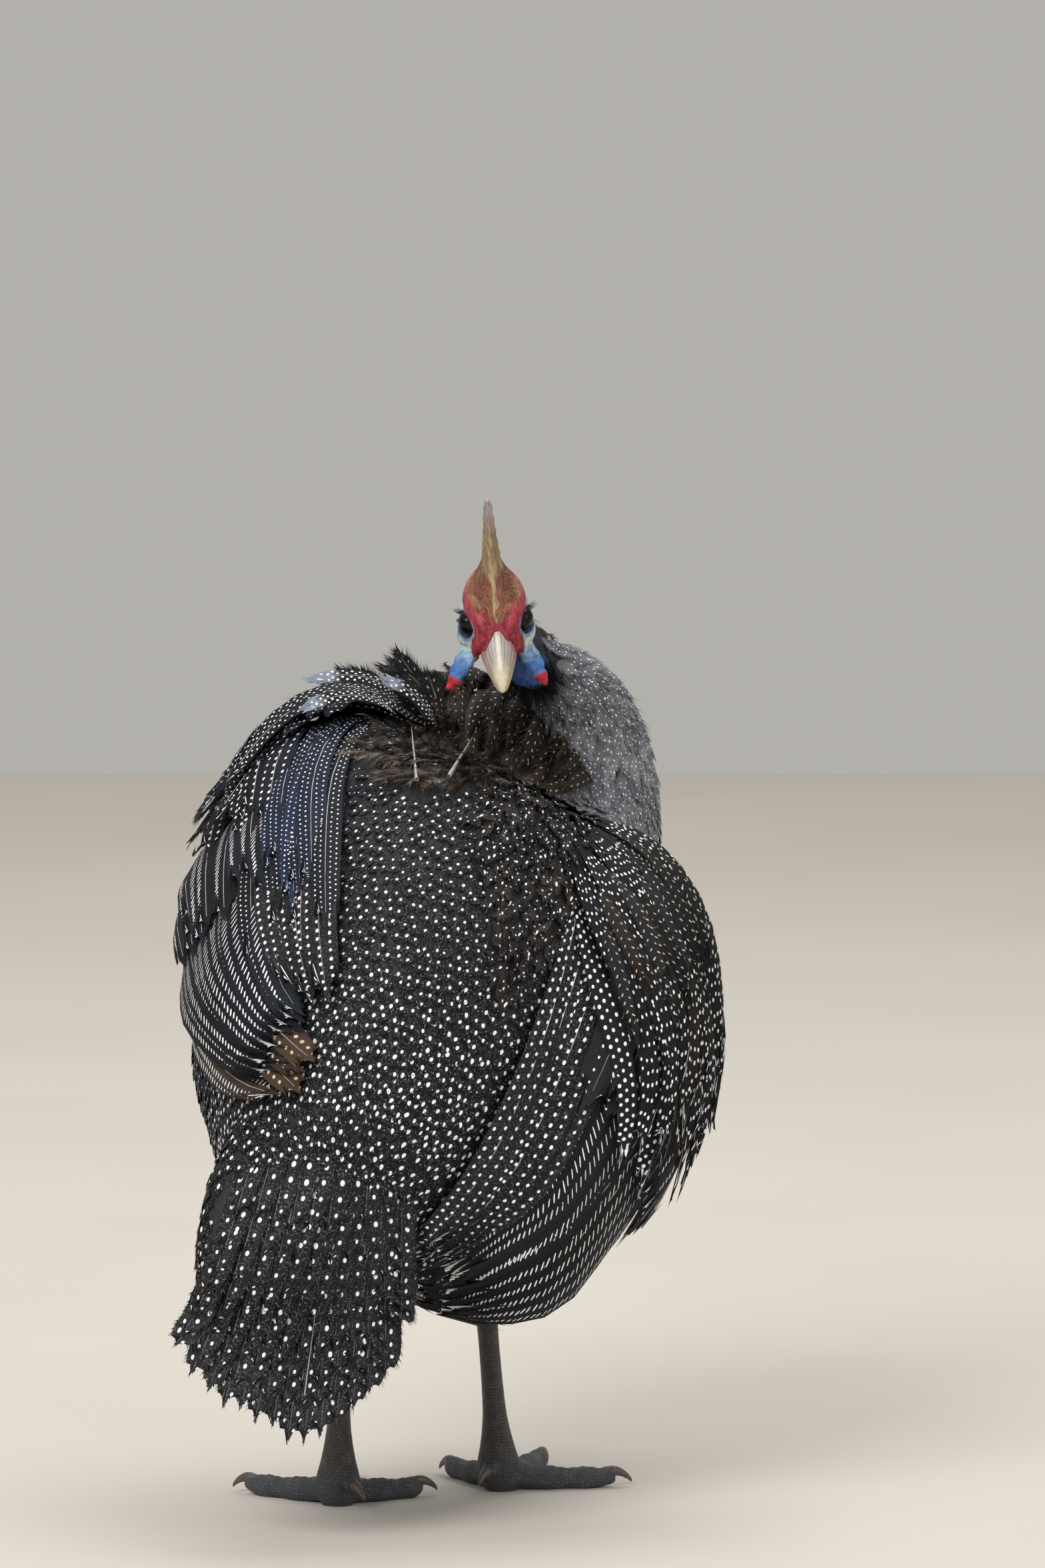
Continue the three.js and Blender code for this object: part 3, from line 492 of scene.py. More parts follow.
def melt(pieces: Sequence[bpy.types.Object], name: str, cell: float, passes: int) -> bpy.types.Object:
    """Joins closed pieces into one even skin without seams.

    Args:
        pieces: closed solids that run into one another.
        name: the skin's name.
        cell: the size of its faces, in millimetres.
        passes: how many times it is smoothed.

    Returns:
        The skin.
    """
    skin = join(pieces, name)
    modify(skin, "REMESH", mode="VOXEL", voxel_size=cell / 1000, use_smooth_shade=True)
    if passes:
        modify(skin, "SMOOTH", factor=0.5, iterations=passes)
    return skin


def dab(piece: bpy.types.Object, tone: Array) -> None:
    """Paints a linear colour on each point of a piece, with a strength beside it or a strength of 1."""
    if tone.shape[1] == 3:
        tone = np.column_stack([tone, np.ones(len(tone))])
    layer = piece.data.color_attributes.new("Tone", "FLOAT_COLOR", "POINT")
    layer.data.foreach_set("color", np.ascontiguousarray(tone, np.float32).ravel())


Socket = bpy.types.NodeSocket
Value = Union[Socket, float]
Colour = Union[Socket, tuple[float, float, float]]
BLACK = (0.0, 0.0, 0.0)


class Finish:
    """A procedural material that is built up node by node."""

    def __init__(self, name: str, roughness: float, ior: float = 1.5) -> None:
        """Starts a material named for what it is made of.

        Args:
            name: the real material's name.
            roughness: the surface's roughness.
            ior: its index of refraction.
        """
        self.material = bpy.data.materials.new(name)
        self.material.use_nodes = True
        self.tree = self.material.node_tree
        self.shader = self.tree.nodes["Principled BSDF"]
        self.set(self.shader, {"Roughness": roughness, "IOR": ior})

    @staticmethod
    def set(node: bpy.types.Node, values: dict) -> None:
        """Sets a node's own inputs, by name or number."""
        for key, value in values.items():
            node.inputs[key].default_value = value

    def add(
        self, kind: str, values: Optional[dict] = None, links: Optional[dict] = None, **settings: object
    ) -> bpy.types.Node:
        """Adds a node with its settings, input values and links.

        Args:
            kind: the node's type.
            values: input values, by name or number.
            links: sockets that lead into its inputs, by name or number.
            settings: the node's own properties.

        Returns:
            The new node.
        """
        node = self.tree.nodes.new(kind)
        for key, value in settings.items():
            setattr(node, key, value)
        self.set(node, values or {})
        for key, socket in (links or {}).items():
            self.tree.links.new(socket, node.inputs[key])
        return node

    def ramp(self, socket: Socket, stops: Sequence[tuple[float, float]]) -> Socket:
        """A ramp of grey levels over a value, as a colour socket."""
        node = self.add("ShaderNodeValToRGB", links={"Fac": socket})
        while len(node.color_ramp.elements) < len(stops):
            node.color_ramp.elements.new(0.5)
        for element, (place, level) in zip(node.color_ramp.elements, stops):
            element.position = place
            element.color = (level, level, level, 1)
        return node.outputs["Color"]

    def mix(self, amount: Value, first: Colour, second: Colour) -> Socket:
        """Mixes two colours, each a socket or a colour, by an amount that is a socket or a number."""
        node = self.add("ShaderNodeMix", data_type="RGBA")
        for key, value in ((0, amount), (6, first), (7, second)):
            if isinstance(value, bpy.types.NodeSocket):
                self.tree.links.new(value, node.inputs[key])
            else:
                node.inputs[key].default_value = value if key == 0 else (*value[:3], 1)
        return node.outputs[2]

    def times(self, first: Value, second: Value, operation: str = "MULTIPLY") -> Socket:
        """A sum, product or other operation on two values, each a socket or a number."""
        node = self.add("ShaderNodeMath", operation=operation)
        for key, value in enumerate((first, second)):
            if isinstance(value, bpy.types.NodeSocket):
                self.tree.links.new(value, node.inputs[key])
            else:
                node.inputs[key].default_value = value
        return node.outputs[0]

    def bump(self, height: Socket, strength: float, distance: float) -> None:
        """Gives the surface relief. The distance is in metres."""
        node = self.add("ShaderNodeBump", {"Strength": strength, "Distance": distance}, {"Height": height})
        self.tree.links.new(node.outputs["Normal"], self.shader.inputs["Normal"])

    def colour(self, socket: Socket) -> None:
        """Leads a colour into the shader."""
        self.tree.links.new(socket, self.shader.inputs["Base Color"])

    def place(self, scale: Sequence[float] = (1, 1, 1)) -> Socket:
        """The place on the object in metres, stretched by a scale."""
        where = self.add("ShaderNodeTexCoord").outputs["Object"]
        return self.add("ShaderNodeMapping", {"Scale": tuple(scale)}, {"Vector": where}).outputs[0]

    def tone(self) -> bpy.types.Node:
        """The painted colour of the points, with its strength as alpha."""
        return self.add("ShaderNodeAttribute", attribute_name="Tone")

    def noise(
        self, place: Socket, scale: float, detail: float, rough: float = 0.5, warp: float = 0.0
    ) -> Socket:
        """A noise pattern's value at a place. The scale is in cycles over one unit of the place."""
        values = {"Scale": scale, "Detail": detail, "Roughness": rough, "Distortion": warp}
        return self.add("ShaderNodeTexNoise", values, {"Vector": place}).outputs[0]

    def between(self, value: Socket, low: float, high: float, first: Colour, second: Colour) -> Socket:
        """Goes from one colour to another while a value climbs from low to high."""
        return self.mix(self.ramp(value, ((low, 0), (high, 1))), first, second)


def feather_finish(name: str, roughness: float) -> bpy.types.Material:
    """Barbed feather web: its own ground colour, fine pale vermiculation, and barbs as fine ribs."""
    finish = Finish(name, roughness, 1.54)
    tone = finish.tone()
    web = finish.add("ShaderNodeUVMap", uv_map="Web").outputs[0]
    # Fine pale wriggles about a third of a millimetre wide
    wriggle = finish.ramp(finish.noise(web, 1.15, 2.5, 0.6, 0.9), ((0.57, 0), (0.63, 1)))
    strength = finish.times(wriggle, tone.outputs["Alpha"])
    # Barbs run out from the shaft at an angle
    parts = finish.add("ShaderNodeSeparateXYZ", links={"Vector": web})
    aside = finish.add("ShaderNodeMath", links={0: parts.outputs[0]}, operation="ABSOLUTE").outputs[0]
    slant = finish.times(parts.outputs[1], finish.times(aside, 0.9), "SUBTRACT")
    rib = finish.add("ShaderNodeMath", links={0: finish.times(slant, 9.0)}, operation="SINE").outputs[0]
    dark = finish.between(rib, 0.2, 0.9, tone.outputs["Color"], BLACK)
    ground = finish.mix(0.22, tone.outputs["Color"], dark)
    finish.colour(finish.mix(strength, ground, linear("929295")))
    finish.bump(rib, 0.25, 0.00012)
    # Barbs trap most of the light that a smooth keratin sheet would throw back
    finish.set(finish.shader, {"Specular IOR Level": 0.16})
    return finish.material


def plain_finish(
    name: str, colour: str, roughness: float, scale: float = 900, depth: float = 0.35
) -> bpy.types.Material:
    """A small part's surface: one colour broken up by a fine grain of lighter and darker places."""
    finish = Finish(name, roughness)
    base = linear(colour)
    low = tuple(c * (1 - depth) for c in base)
    high = tuple(min(1, c * (1 + depth * 0.5)) for c in base)
    finish.colour(finish.between(finish.noise(finish.place(), scale, 3), 0.35, 0.65, low, high))
    return finish.material




def ball_rings(centre: Array, axes: Array, sizes: Sequence[float], rings: int = 20, sides: int = 28) -> Array:
    """Rings over an oval ball with its three half sizes along the given axes."""
    polar, angle = np.linspace(0.06, math.pi - 0.06, rings)[:, None], circle(sides)[None]
    local = points_from(np.cos(polar), np.sin(polar) * np.cos(angle), np.sin(polar) * np.sin(angle))
    return np.asarray(centre) + (local * np.array(sizes)) @ np.asarray(axes)


def limb_rings(limb: Limb, start: float, end: float, rings: int, sides: int, grow: Callable) -> Array:
    """Rings over part of a limb. grow gives the change of radius at a share of its length."""
    share = np.linspace(start, end, rings)[:, None]
    angle = np.linspace(0, 360, sides, endpoint=False)[None]
    return limb.at(share, angle, grow(share))


CASQUE_SECTIONS: Marks = (
    (5.5, 0.5, 13.9, 15.5),
    (8.5, 1, 13.4, 15),
    (14.5, 2.5, 11.6, 14),
    (19.5, 4, 7.6, 12),
    (25, 5.5, 4.7, 10),
    (33, 7.5, 3.5, 8.2),
    (42, 9.5, 2.6, 6.4),
    (50, 11.5, 1.9, 4.8),
    (55.5, 13, 1.45, 3),
    (57.4, 13.4, 0.7, 1.2),
)


def casque_edge(turn: Array) -> Array:
    """How high the red skin climbs the casque at each side of it."""
    return 17.2 + 0.9 * np.sin(5 * turn) - 5.0 * np.exp(-((np.sin(turn) / 0.3) ** 2)) * (np.cos(turn) > 0)


def casque_place(turn: Array, up: Array, over: Array) -> Array:
    """Points round the casque's foot at some heights, at a distance over its surface."""
    back, wide, long = columns(CASQUE_SECTIONS, up)
    return HEAD.out(points_from(-back + np.cos(turn) * (long + over), np.sin(turn) * (wide + over), up))


def eye_out(sign: int) -> Array:
    """The way that an eye looks: outwards, ahead and a little up."""
    ahead, aside, up = HEAD.axes()
    return unit(0.5 * ahead + sign * 0.8 * aside + 0.3 * up)


@dataclass(frozen=True)
class HeadForm:
    """The bare head: skull, cheeks, folds of red skin, lids and wattles. Millimetres on the head's axes."""

    skull: Marks = (
        (-24, 1, 2, 2),
        (-21, 7.5, 9, 7),
        (-14, 10.6, 12.6, 11),
        (-6, 13.8, 15, 12.5),
        (3, 14, 15.5, 12.5),
        (10, 11.2, 12.4, 11),
        (16, 7.4, 7.6, 8.4),
        (19.5, 4.6, 3.6, 6),
        (21, 1, 1.6, 2),
    )
    folds: tuple[tuple[float, Marks], ...] = (
        (2.2, ((2, 8.2, 12.5), (8, 7.4, 11.4), (13, 6.2, 9.4), (17.5, 4.6, 7.2))),
        (1.5, ((7, 8.2, 5.6), (13.4, 8.6, 4.4), (17, 8.6, 1.2), (17, 8.8, -2.6))),
        (1.3, ((14, 1.2, 9.6), (19.4, 3.6, 7), (21.6, 5.8, 2.6), (19.6, 8.2, -2.0))),
        (1.2, ((12.5, 5.2, 7.8), (18, 6.9, 5), (18.6, 8, 1.2), (16.6, 9, -3))),
        (1.5, ((11.6, 9.8, 2.2), (14.2, 9.9, -1.4), (14.6, 10, -5), (12.4, 10.2, -8))),
        (1.1, ((16.4, 9.4, -0.4), (17.2, 9.6, -3.6), (15.4, 10, -7.4), (12.6, 10.2, -9.2))),
        (1.3, ((7, 2.6, 12.4), (12, 2.2, 11.6), (15.4, 1.5, 10))),
    )
    wattle: Marks = (
        (0, 3.8, 1.6), (5, 4.9, 2), (10, 4.8, 2), (15, 3.7, 1.7), (19.5, 2.2, 1.2), (21, 0.6, 0.4)
    )
    wattle_root: tuple[float, float, float] = (8, 11.6, -8.6)
    beads: Marks = ((0.4, 3.6), (2.2, 4.5), (4.1, 4.9), (5.9, 5.1), (7.6, 4.8))
    swells: tuple[tuple[tuple[float, ...], tuple[float, ...]], ...] = (
        ((2.5, 10.6, -5), (7.5, 6.4, 8.5)),
        ((9, 8.4, -3.5), (6, 4.2, 6)),
        ((8, 10.6, -8.2), (4.4, 3, 3.6)),
    )
    throat: tuple[tuple[tuple[float, ...], tuple[float, ...]], ...] = (
        ((47, 35, 355), (7.5, 9, 9.5)),
        ((51, 39, 350), (7, 8, 6)),
    )

    def root(self, sign: int) -> Array:
        """Where a wattle hangs from."""
        ahead, aside, up = self.wattle_root
        return HEAD.out([ahead, sign * aside, up])

    def hang(self, sign: int) -> Array:
        """The way that a wattle hangs."""
        return unit(np.array([sign * 0.46, -0.12, -0.88]))

    def skull_rings(self) -> Array:
        """Rings over the skull."""
        ahead = np.linspace(-24, 21, 46)[:, None]
        wide, above, below = columns(self.skull, ahead)
        angle = circle(48)[None]
        lift = np.sin(angle) * np.where(np.sin(angle) > 0, above, below)
        return HEAD.out(points_from(ahead, np.cos(angle) * wide, lift))

    def crown_rings(self) -> Array:
        """Rings of the red skin that climbs the foot of the casque."""
        up, turn = np.linspace(5.5, 19.5, 26)[:, None], circle(64)[None]
        over = 0.75 * (1 - 2 * smooth(up - casque_edge(turn), -1.6, 0.8))
        return casque_place(turn, up, over)

    def fold_rings(self, radius: float, course: Marks, sign: int) -> Array:
        """Rings over one fold, pinched along its length into uneven swellings."""
        stations = [(*HEAD.out([a, sign * s, u]), radius, radius) for a, s, u in course]
        limb = Limb(tuple(stations), tuple(HEAD.axes()[1] + 0.6 * HEAD.axes()[2]))

        def swell(t: Array) -> Array:
            """How far the fold's surface stands in, at a share of its length."""
            return -radius * (0.5 - np.sqrt(np.clip(t * (1 - t), 0, 1))) + 0.12 * np.sin(13 * t)

        return limb_rings(limb, 0, 1, 30, 14, swell)

    def lid(self, sign: int, around: int = 40, sides: int = 12) -> bpy.types.Object:
        """A ring of lid skin round one eye."""
        _, _, up = HEAD.axes()
        outward = eye_out(sign)
        raised = unit(up - outward * np.dot(up, outward))
        forward = np.cross(outward, raised)
        turn, tube = circle(around)[:, None], circle(sides)[None]
        spoke = raised * np.sin(turn)[..., None] + forward * (np.cos(turn) * 1.04)[..., None]
        points = (
            eye_place(sign)
            + outward * (2.9 + np.sin(tube) * 0.95)[..., None]
            + spoke * (5.65 + np.cos(tube) * 0.85)[..., None]
        )
        faces = [[i % (around * sides) for i in face] for face in tube_faces(around + 1, sides)]
        piece = new_piece("lid", points.reshape(-1, 3), faces)
        turn_outwards(piece)
        return piece

    def wattle_rings(self, sign: int) -> Array:
        """Rings over one wattle, with fine wrinkles across."""
        stations = ((*(self.root(sign) + self.hang(sign) * (down + 0.5)), w, t) for down, w, t in self.wattle)
        limb = Limb(tuple(stations), (sign * 0.8, 0.6, 0))
        return limb_rings(limb, 0, 1, 44, 24, lambda t: 0.22 * np.sin(34 * t))

    def bead_places(self, sign: int) -> Array:
        """The small dark-red beads down a wattle's inner edge."""
        down, inward = (np.array(column)[:, None] for column in zip(*self.beads))
        inner = unit(np.array([-sign * 0.88, -0.12, -0.46]))
        return self.root(sign) + self.hang(sign) * down + inner * inward + [0, -0.6, 0]

    def solids(self) -> list[bpy.types.Object]:
        """The closed pieces that melt into the fine head."""
        axes = HEAD.axes()
        pieces = [solid("skull", self.skull_rings())]
        for sign in (-1, 1):
            pieces.append(self.lid(sign))
            cheek, lore, root = (
                ball_rings(HEAD.out([a, sign * s, u]), axes, sizes) for (a, s, u), sizes in self.swells
            )
            forms = [cheek, lore, self.wattle_rings(sign), root]
            forms += [self.fold_rings(radius, course, sign) for radius, course in self.folds]
            forms += [ball_rings(bead, axes, (0.95, 0.95, 0.95), 8, 10) for bead in self.bead_places(sign)]
            pieces += [solid("form", rings) for rings in forms]
        bare_neck = limb_rings(NECK, 0.66, 1, 40, 40, lambda t: -2.5 * (1 - smooth(t, 0.7, 0.8)))
        throat = [ball_rings(centre, np.eye(3), sizes) for centre, sizes in self.throat]
        return pieces + [solid("form", rings) for rings in (self.crown_rings(), *throat, bare_neck)]


class Flesh:
    """The whole bird's skin as one seamless mesh, under the coat's depth."""

    def __init__(self, depth: float = 3.2, cell: float = 2.1) -> None:
        """Sets the coat's depth over the skin and the skin's face size, in millimetres."""
        self.depth = depth
        self.cell = cell
        self.form = HeadForm()

    def body_parts(self) -> list[bpy.types.Object]:
        """Trunk with the wings' pads, neck, thighs and tail stump as closed solids."""
        lat = np.linspace(-88.5, 88.5, 110)[:, None]
        turn = np.linspace(-180, 180, 140, endpoint=False)[None]
        forms = [
            TRUNK.at(lat, turn, trunk_height(lat, turn) - self.depth),
            limb_rings(NECK, 0, 1, 70, 48, lambda t: -self.depth * (1 - smooth(t, 0.66, 0.8))),
            limb_rings(TAIL_STUMP, 0, 1, 40, 48, lambda t: -2.6 + 0 * t),
        ]
        for limb in THIGHS.values():
            forms.append(limb_rings(limb, 0, 1, 40, 36, lambda t: -self.depth * (1 - 0.6 * t)))
        return [solid("form", rings) for rings in forms]

    def build(self) -> bpy.types.Object:
        """Makes the skin, refines its head and paints it.

        Returns:
            The skin, which stands for all nodes of flesh.
        """
        target = melt(self.form.solids(), "head_target", 0.42, 3)
        skin = melt(self.body_parts() + self.form.solids(), "skin", self.cell, 4)
        self.refine(skin, target)
        bpy.data.objects.remove(target)
        points = points_of(skin)
        dab(skin, np.column_stack([SkinPaint(points, self.form).tone(), bare_share(points)]))
        return skin

    def refine(self, skin: bpy.types.Object, target: bpy.types.Object) -> None:
        """Divides the faces of the bare head and lays them on the fine form."""
        for _ in range(2):
            points = points_of(skin)
            bare = bare_share(points) > 0.02
            skin.data.polygons.foreach_set("select", np.zeros(len(skin.data.polygons), bool))
            skin.data.vertices.foreach_set("select", bare)
            only(skin)
            bpy.ops.object.mode_set(mode="EDIT")
            bpy.ops.mesh.select_mode(type="VERT")
            bpy.ops.object.mode_set(mode="OBJECT")
            skin.data.vertices.foreach_set("select", bare)
            bpy.ops.object.mode_set(mode="EDIT")
            bpy.ops.mesh.subdivide(number_cuts=1)
            bpy.ops.object.mode_set(mode="OBJECT")
        share = bare_share(points_of(skin))
        group = skin.vertex_groups.new(name="bare")
        for level in np.linspace(0.1, 1, 10):
            chosen = np.nonzero((share > level - 0.1) & (share <= level))[0]
            group.add(chosen.tolist(), float(level), "REPLACE")
        modify(skin, "SHRINKWRAP", target=target, wrap_method="NEAREST_SURFACEPOINT", vertex_group="bare")
        skin.vertex_groups.clear()
        skin.data.shade_smooth()


def away(points: Array, centre: Sequence[float], sizes: Sequence[float] = (1, 1, 1)) -> Array:
    """How far points are from a centre, in half sizes of an oval ball."""
    return np.linalg.norm((points - np.asarray(centre)) / sizes, axis=1)


def bare_share(points: Array) -> Array:
    """How bare the skin is at each point: 1 on the head, throat and wattles, 0 under feathers."""
    local, form = HEAD.into(points), HeadForm()
    shares = [
        1 - smooth(away(local, (3, 0, -1), (27, 21.5, 26)), 0.92, 1.08),
        1 - smooth(away(points, (48, 33, 354), (12, 13, 14)), 0.92, 1.12),
    ]
    for sign in (-1, 1):
        shares.append(1 - smooth(away(local, (9, sign * 19, -20), (12, 10, 15)), 0.9, 1.1))
        root, hang = form.root(sign), form.hang(sign)
        down = np.clip((points - root) @ hang, 0, 22)
        shares.append(1 - smooth(away(points - down[:, None] * hang, root), 7.5, 9))
    return np.max(shares, axis=0)


def ground(colour: str, points: Array) -> Array:
    """One sRGB colour for each of some points, in linear light."""
    return np.tile(np.array(linear(colour)), (len(points), 1))


def paint(base: Array, *coats: tuple[str, Array]) -> Array:
    """Lays sRGB colours one after another over a base, each by its mask."""
    for colour, mask in coats:
        base = base * (1 - mask[:, None]) + np.array(linear(colour)) * mask[:, None]
    return base


class SkinPaint:
    """The skin's colours: black where feathered, and the bare head's zones."""

    def __init__(self, points: Array, form: HeadForm) -> None:
        """Measures where each point is on the head."""
        self.points, self.form = points, form
        self.ahead, self.aside, self.up = HEAD.into(points).T
        self.bare = bare_share(points)
        self.eyes = np.where((self.aside > 0)[:, None], eye_place(1), eye_place(-1))
        self.off = np.linalg.norm(points - self.eyes, axis=1)

    def tone(self) -> Array:
        """Lays all zones over one another, as a linear colour for each point."""
        tone = ground("1c1c1f", self.points)
        for coats in (self.neck(), self.face(), self.crown(), *(self.wattle(sign) for sign in (-1, 1))):
            tone = paint(tone, *coats)
        return tone

    def neck(self) -> list[tuple[str, Array]]:
        """Dusky neck with a clear blue throat."""
        throat = 1 - smooth(away(self.points, (47, 33, 353), (10, 12, 12)), 0.75, 1.25)
        return [
            ("34507e", self.bare),
            ("22262f", self.bare * (1 - smooth(self.ahead, 2, 10))),
            ("3c5da2", throat * (1 - smooth(self.points[:, 2], 357, 362))),
        ]

    def face(self) -> list[tuple[str, Array]]:
        """Pale face, blue cheeks, and the blue ring and dark rim round the eyes."""
        a, u, bare, off = self.ahead, self.up, self.bare, self.off
        out = np.where((self.aside > 0)[:, None], eye_out(1), eye_out(-1))
        facing = np.sum((self.points - self.eyes) * out, axis=1) / np.maximum(off, 0.1)
        wide = off * np.sqrt(np.maximum(1 - facing**2, 0))
        near_eye = smooth(off * facing, 0.8, 1.8)
        over_eye = smooth((self.points - self.eyes)[:, 2], 1.0, 4.0)
        return [
            ("d3e6dc", smooth(a, -13, -8) * (1 - smooth(u, 9, 12)) * smooth(u, -15, -9) * bare),
            ("84b0dc", smooth(-u, 7, 13) * bare * smooth(a, -3, 4) * (1 - smooth(-u, 15, 19)) * 0.9),
            ("7fa9d6", (1 - smooth(wide, 6.6, 8.2)) * near_eye * 0.9),
            ("26324f", (1 - smooth(wide, 5.5, 6.0)) * near_eye),
            ("2b3a5c", (1 - smooth(wide, 6.0, 6.9)) * near_eye * over_eye),
        ]

    def crown(self) -> list[tuple[str, Array]]:
        """The red shield over the brow and the bill's root, with nostrils and tan fibres of the casque."""
        a, s, u = self.ahead, self.aside, self.up
        side = np.abs(s)
        heart = 13.4 - 0.42 * np.clip(9 - u, 0, 20) - 0.12 * np.clip(a - 4, 0, 20)
        heart = np.where(a > 11.5, 20, heart)
        shield = smooth(u + 0.35 * a, 6.0, 8.0) * (1 - smooth(side - heart, -0.8, 0.6))
        shield = shield * smooth(a + 0.5 * u, -9, -3)
        clear = smooth(self.off, 6.9, 7.9)
        red = np.clip(shield * clear, 0, 1) * self.bare
        gape = smooth(a, 11.8, 13.8) * smooth(u, -10.5, -8.5) * clear * self.bare
        local = np.column_stack([a, s, u])
        nostril = np.min([away(local, (19.2, sign * 5.6, 4.6), (2.6, 0.9, 1.4)) for sign in (-1, 1)], axis=0)
        fibre = np.sin(a * 0.9 + 2.1 * np.sin(s * 1.7)) * np.sin(s * 2.3 + 0.8 * a) * 0.5 + 0.5
        foot = smooth(u, 10, 15) * (1 - smooth(side, 7, 12)) * red
        return [
            ("b2364a", red),
            ("9c2c3b", gape),
            ("c8505c", red * smooth(u, 9, 13) * 0.5),
            ("2a0a0e", 1 - smooth(nostril, 0.7, 1.3)),
            ("c08a66", foot * smooth(fibre, 0.35, 0.75) * 0.7),
            ("a47e5c", smooth(u + 2 * fibre, 14.5, 18) * red * 0.85),
        ]

    def wattle(self, sign: int) -> list[tuple[str, Array]]:
        """A wattle that runs from pale to strong blue, with its red tip and dark-red beads."""
        root, hang = self.form.root(sign), self.form.hang(sign)
        down = (self.points - root) @ hang
        aside = np.linalg.norm(self.points - root - down[:, None] * hang, axis=1)
        flap = (1 - smooth(aside, 5.5, 6.5)) * smooth(down, 0.5, 3.5) * (1 - smooth(down, 22, 23))
        beads = [away(self.points, bead) for bead in self.form.bead_places(sign)]
        return [
            ("9cc2e4", flap),
            ("4f82c8", flap * smooth(down, 3, 10)),
            ("c12c38", flap * smooth(down, 13.8, 15.2)),
            *(("7e1e2e", 1 - smooth(off, 1.0, 1.4)) for off in beads),
        ]


def skin_finish() -> bpy.types.Material:
    """Bare skin: soft, a little waxy, wrinkled and granular, with small freckles. Black where feathered."""
    finish = Finish("Bare skin and feathered skin", 0.5, 1.4)
    tone = finish.tone()
    place = finish.place()
    mottle = finish.noise(place, 420, 4, 0.65)
    grains = finish.add("ShaderNodeTexVoronoi", {"Scale": 900}, {"Vector": place}).outputs[0]
    wrinkle = finish.noise(place, 260, 5, 0.7, 1.6)
    deep = finish.mix(0.55, tone.outputs["Color"], BLACK)
    pale = finish.mix(0.42, tone.outputs["Color"], (0.9, 0.9, 0.88))
    mixed = finish.between(mottle, 0.34, 0.62, deep, tone.outputs["Color"])
    bright = finish.times(finish.ramp(grains, ((0.0, 1), (0.3, 0))), finish.times(mottle, 0.35))
    bare = finish.mix(bright, mixed, pale)
    # The coat's white spots go on under it, about 7 mm apart
    dots = finish.add("ShaderNodeTexVoronoi", {"Scale": 150, "Randomness": 0.6}, {"Vector": place}).outputs[0]
    spotted = finish.mix(finish.ramp(dots, ((0.14, 1), (0.17, 0))), tone.outputs["Color"], linear("e2e3e2"))
    finish.colour(finish.mix(tone.outputs["Alpha"], spotted, bare))
    relief = finish.times(wrinkle, finish.times(grains, 0.3), "SUBTRACT")
    finish.bump(relief, 0.6, 0.0006)
    glow = {"Subsurface Weight": 0.08, "Subsurface Radius": (0.002, 0.0012, 0.001), "Subsurface Scale": 0.5}
    finish.set(finish.shader, glow)
    return finish.material


WEB_STEP = 7.31  # millimetres from one feather's place on the fine pattern to the next one's


@dataclass(frozen=True)
class Plume:
    """One kind of feather's build. Sizes are in millimetres."""

    rows: int = 6
    columns: int = 5
    outline: Marks = ((0, 0.4), (0.25, 0.8), (0.6, 1), (0.86, 0.86), (1, 0.42))
    cup: float = 0.2
    ragged: float = 0.1
    barbs: int = 6
    barb_length: float = 2.2
    barb_half: float = 0.26
    loose: float = 0.05
    tip_barbs: int = 5
    twist: float = 8.0


@dataclass
class Vanes:
    """Many feathers of one kind: each one's grid of points, the ways out of them, and sizes."""

    grid: Array
    out: Array
    course: Array
    length: Array
    half: Array
    plume: Plume

    @property
    def count(self) -> int:
        """How many feathers there are."""
        return len(self.grid)

    def sample(self, values: Array, feather: Array, s: Array, t: Array) -> Array:
        """Reads a grid of values at shares s along and t across, from -1 to 1, of the given feathers."""
        rows, columns = values.shape[1:3]
        row = np.clip(s, 0, 1) * (rows - 1)
        column = (np.clip(t, -1, 1) + 1) / 2 * (columns - 1)
        r = np.clip(row.astype(int), 0, rows - 2)
        c = np.clip(column.astype(int), 0, columns - 2)
        fr, fc = (row - r)[..., None], (column - c)[..., None]
        f = np.broadcast_to(feather, s.shape)
        return (
            values[f, r, c] * (1 - fr) * (1 - fc)
            + values[f, r + 1, c] * fr * (1 - fc)
            + values[f, r, c + 1] * (1 - fr) * fc
            + values[f, r + 1, c + 1] * fr * fc
        )

    def width_at(self, feather: Array, s: Array) -> Array:
        """Half widths of the feathers at shares of their length."""
        return self.half[feather] * along(self.plume.outline, s)


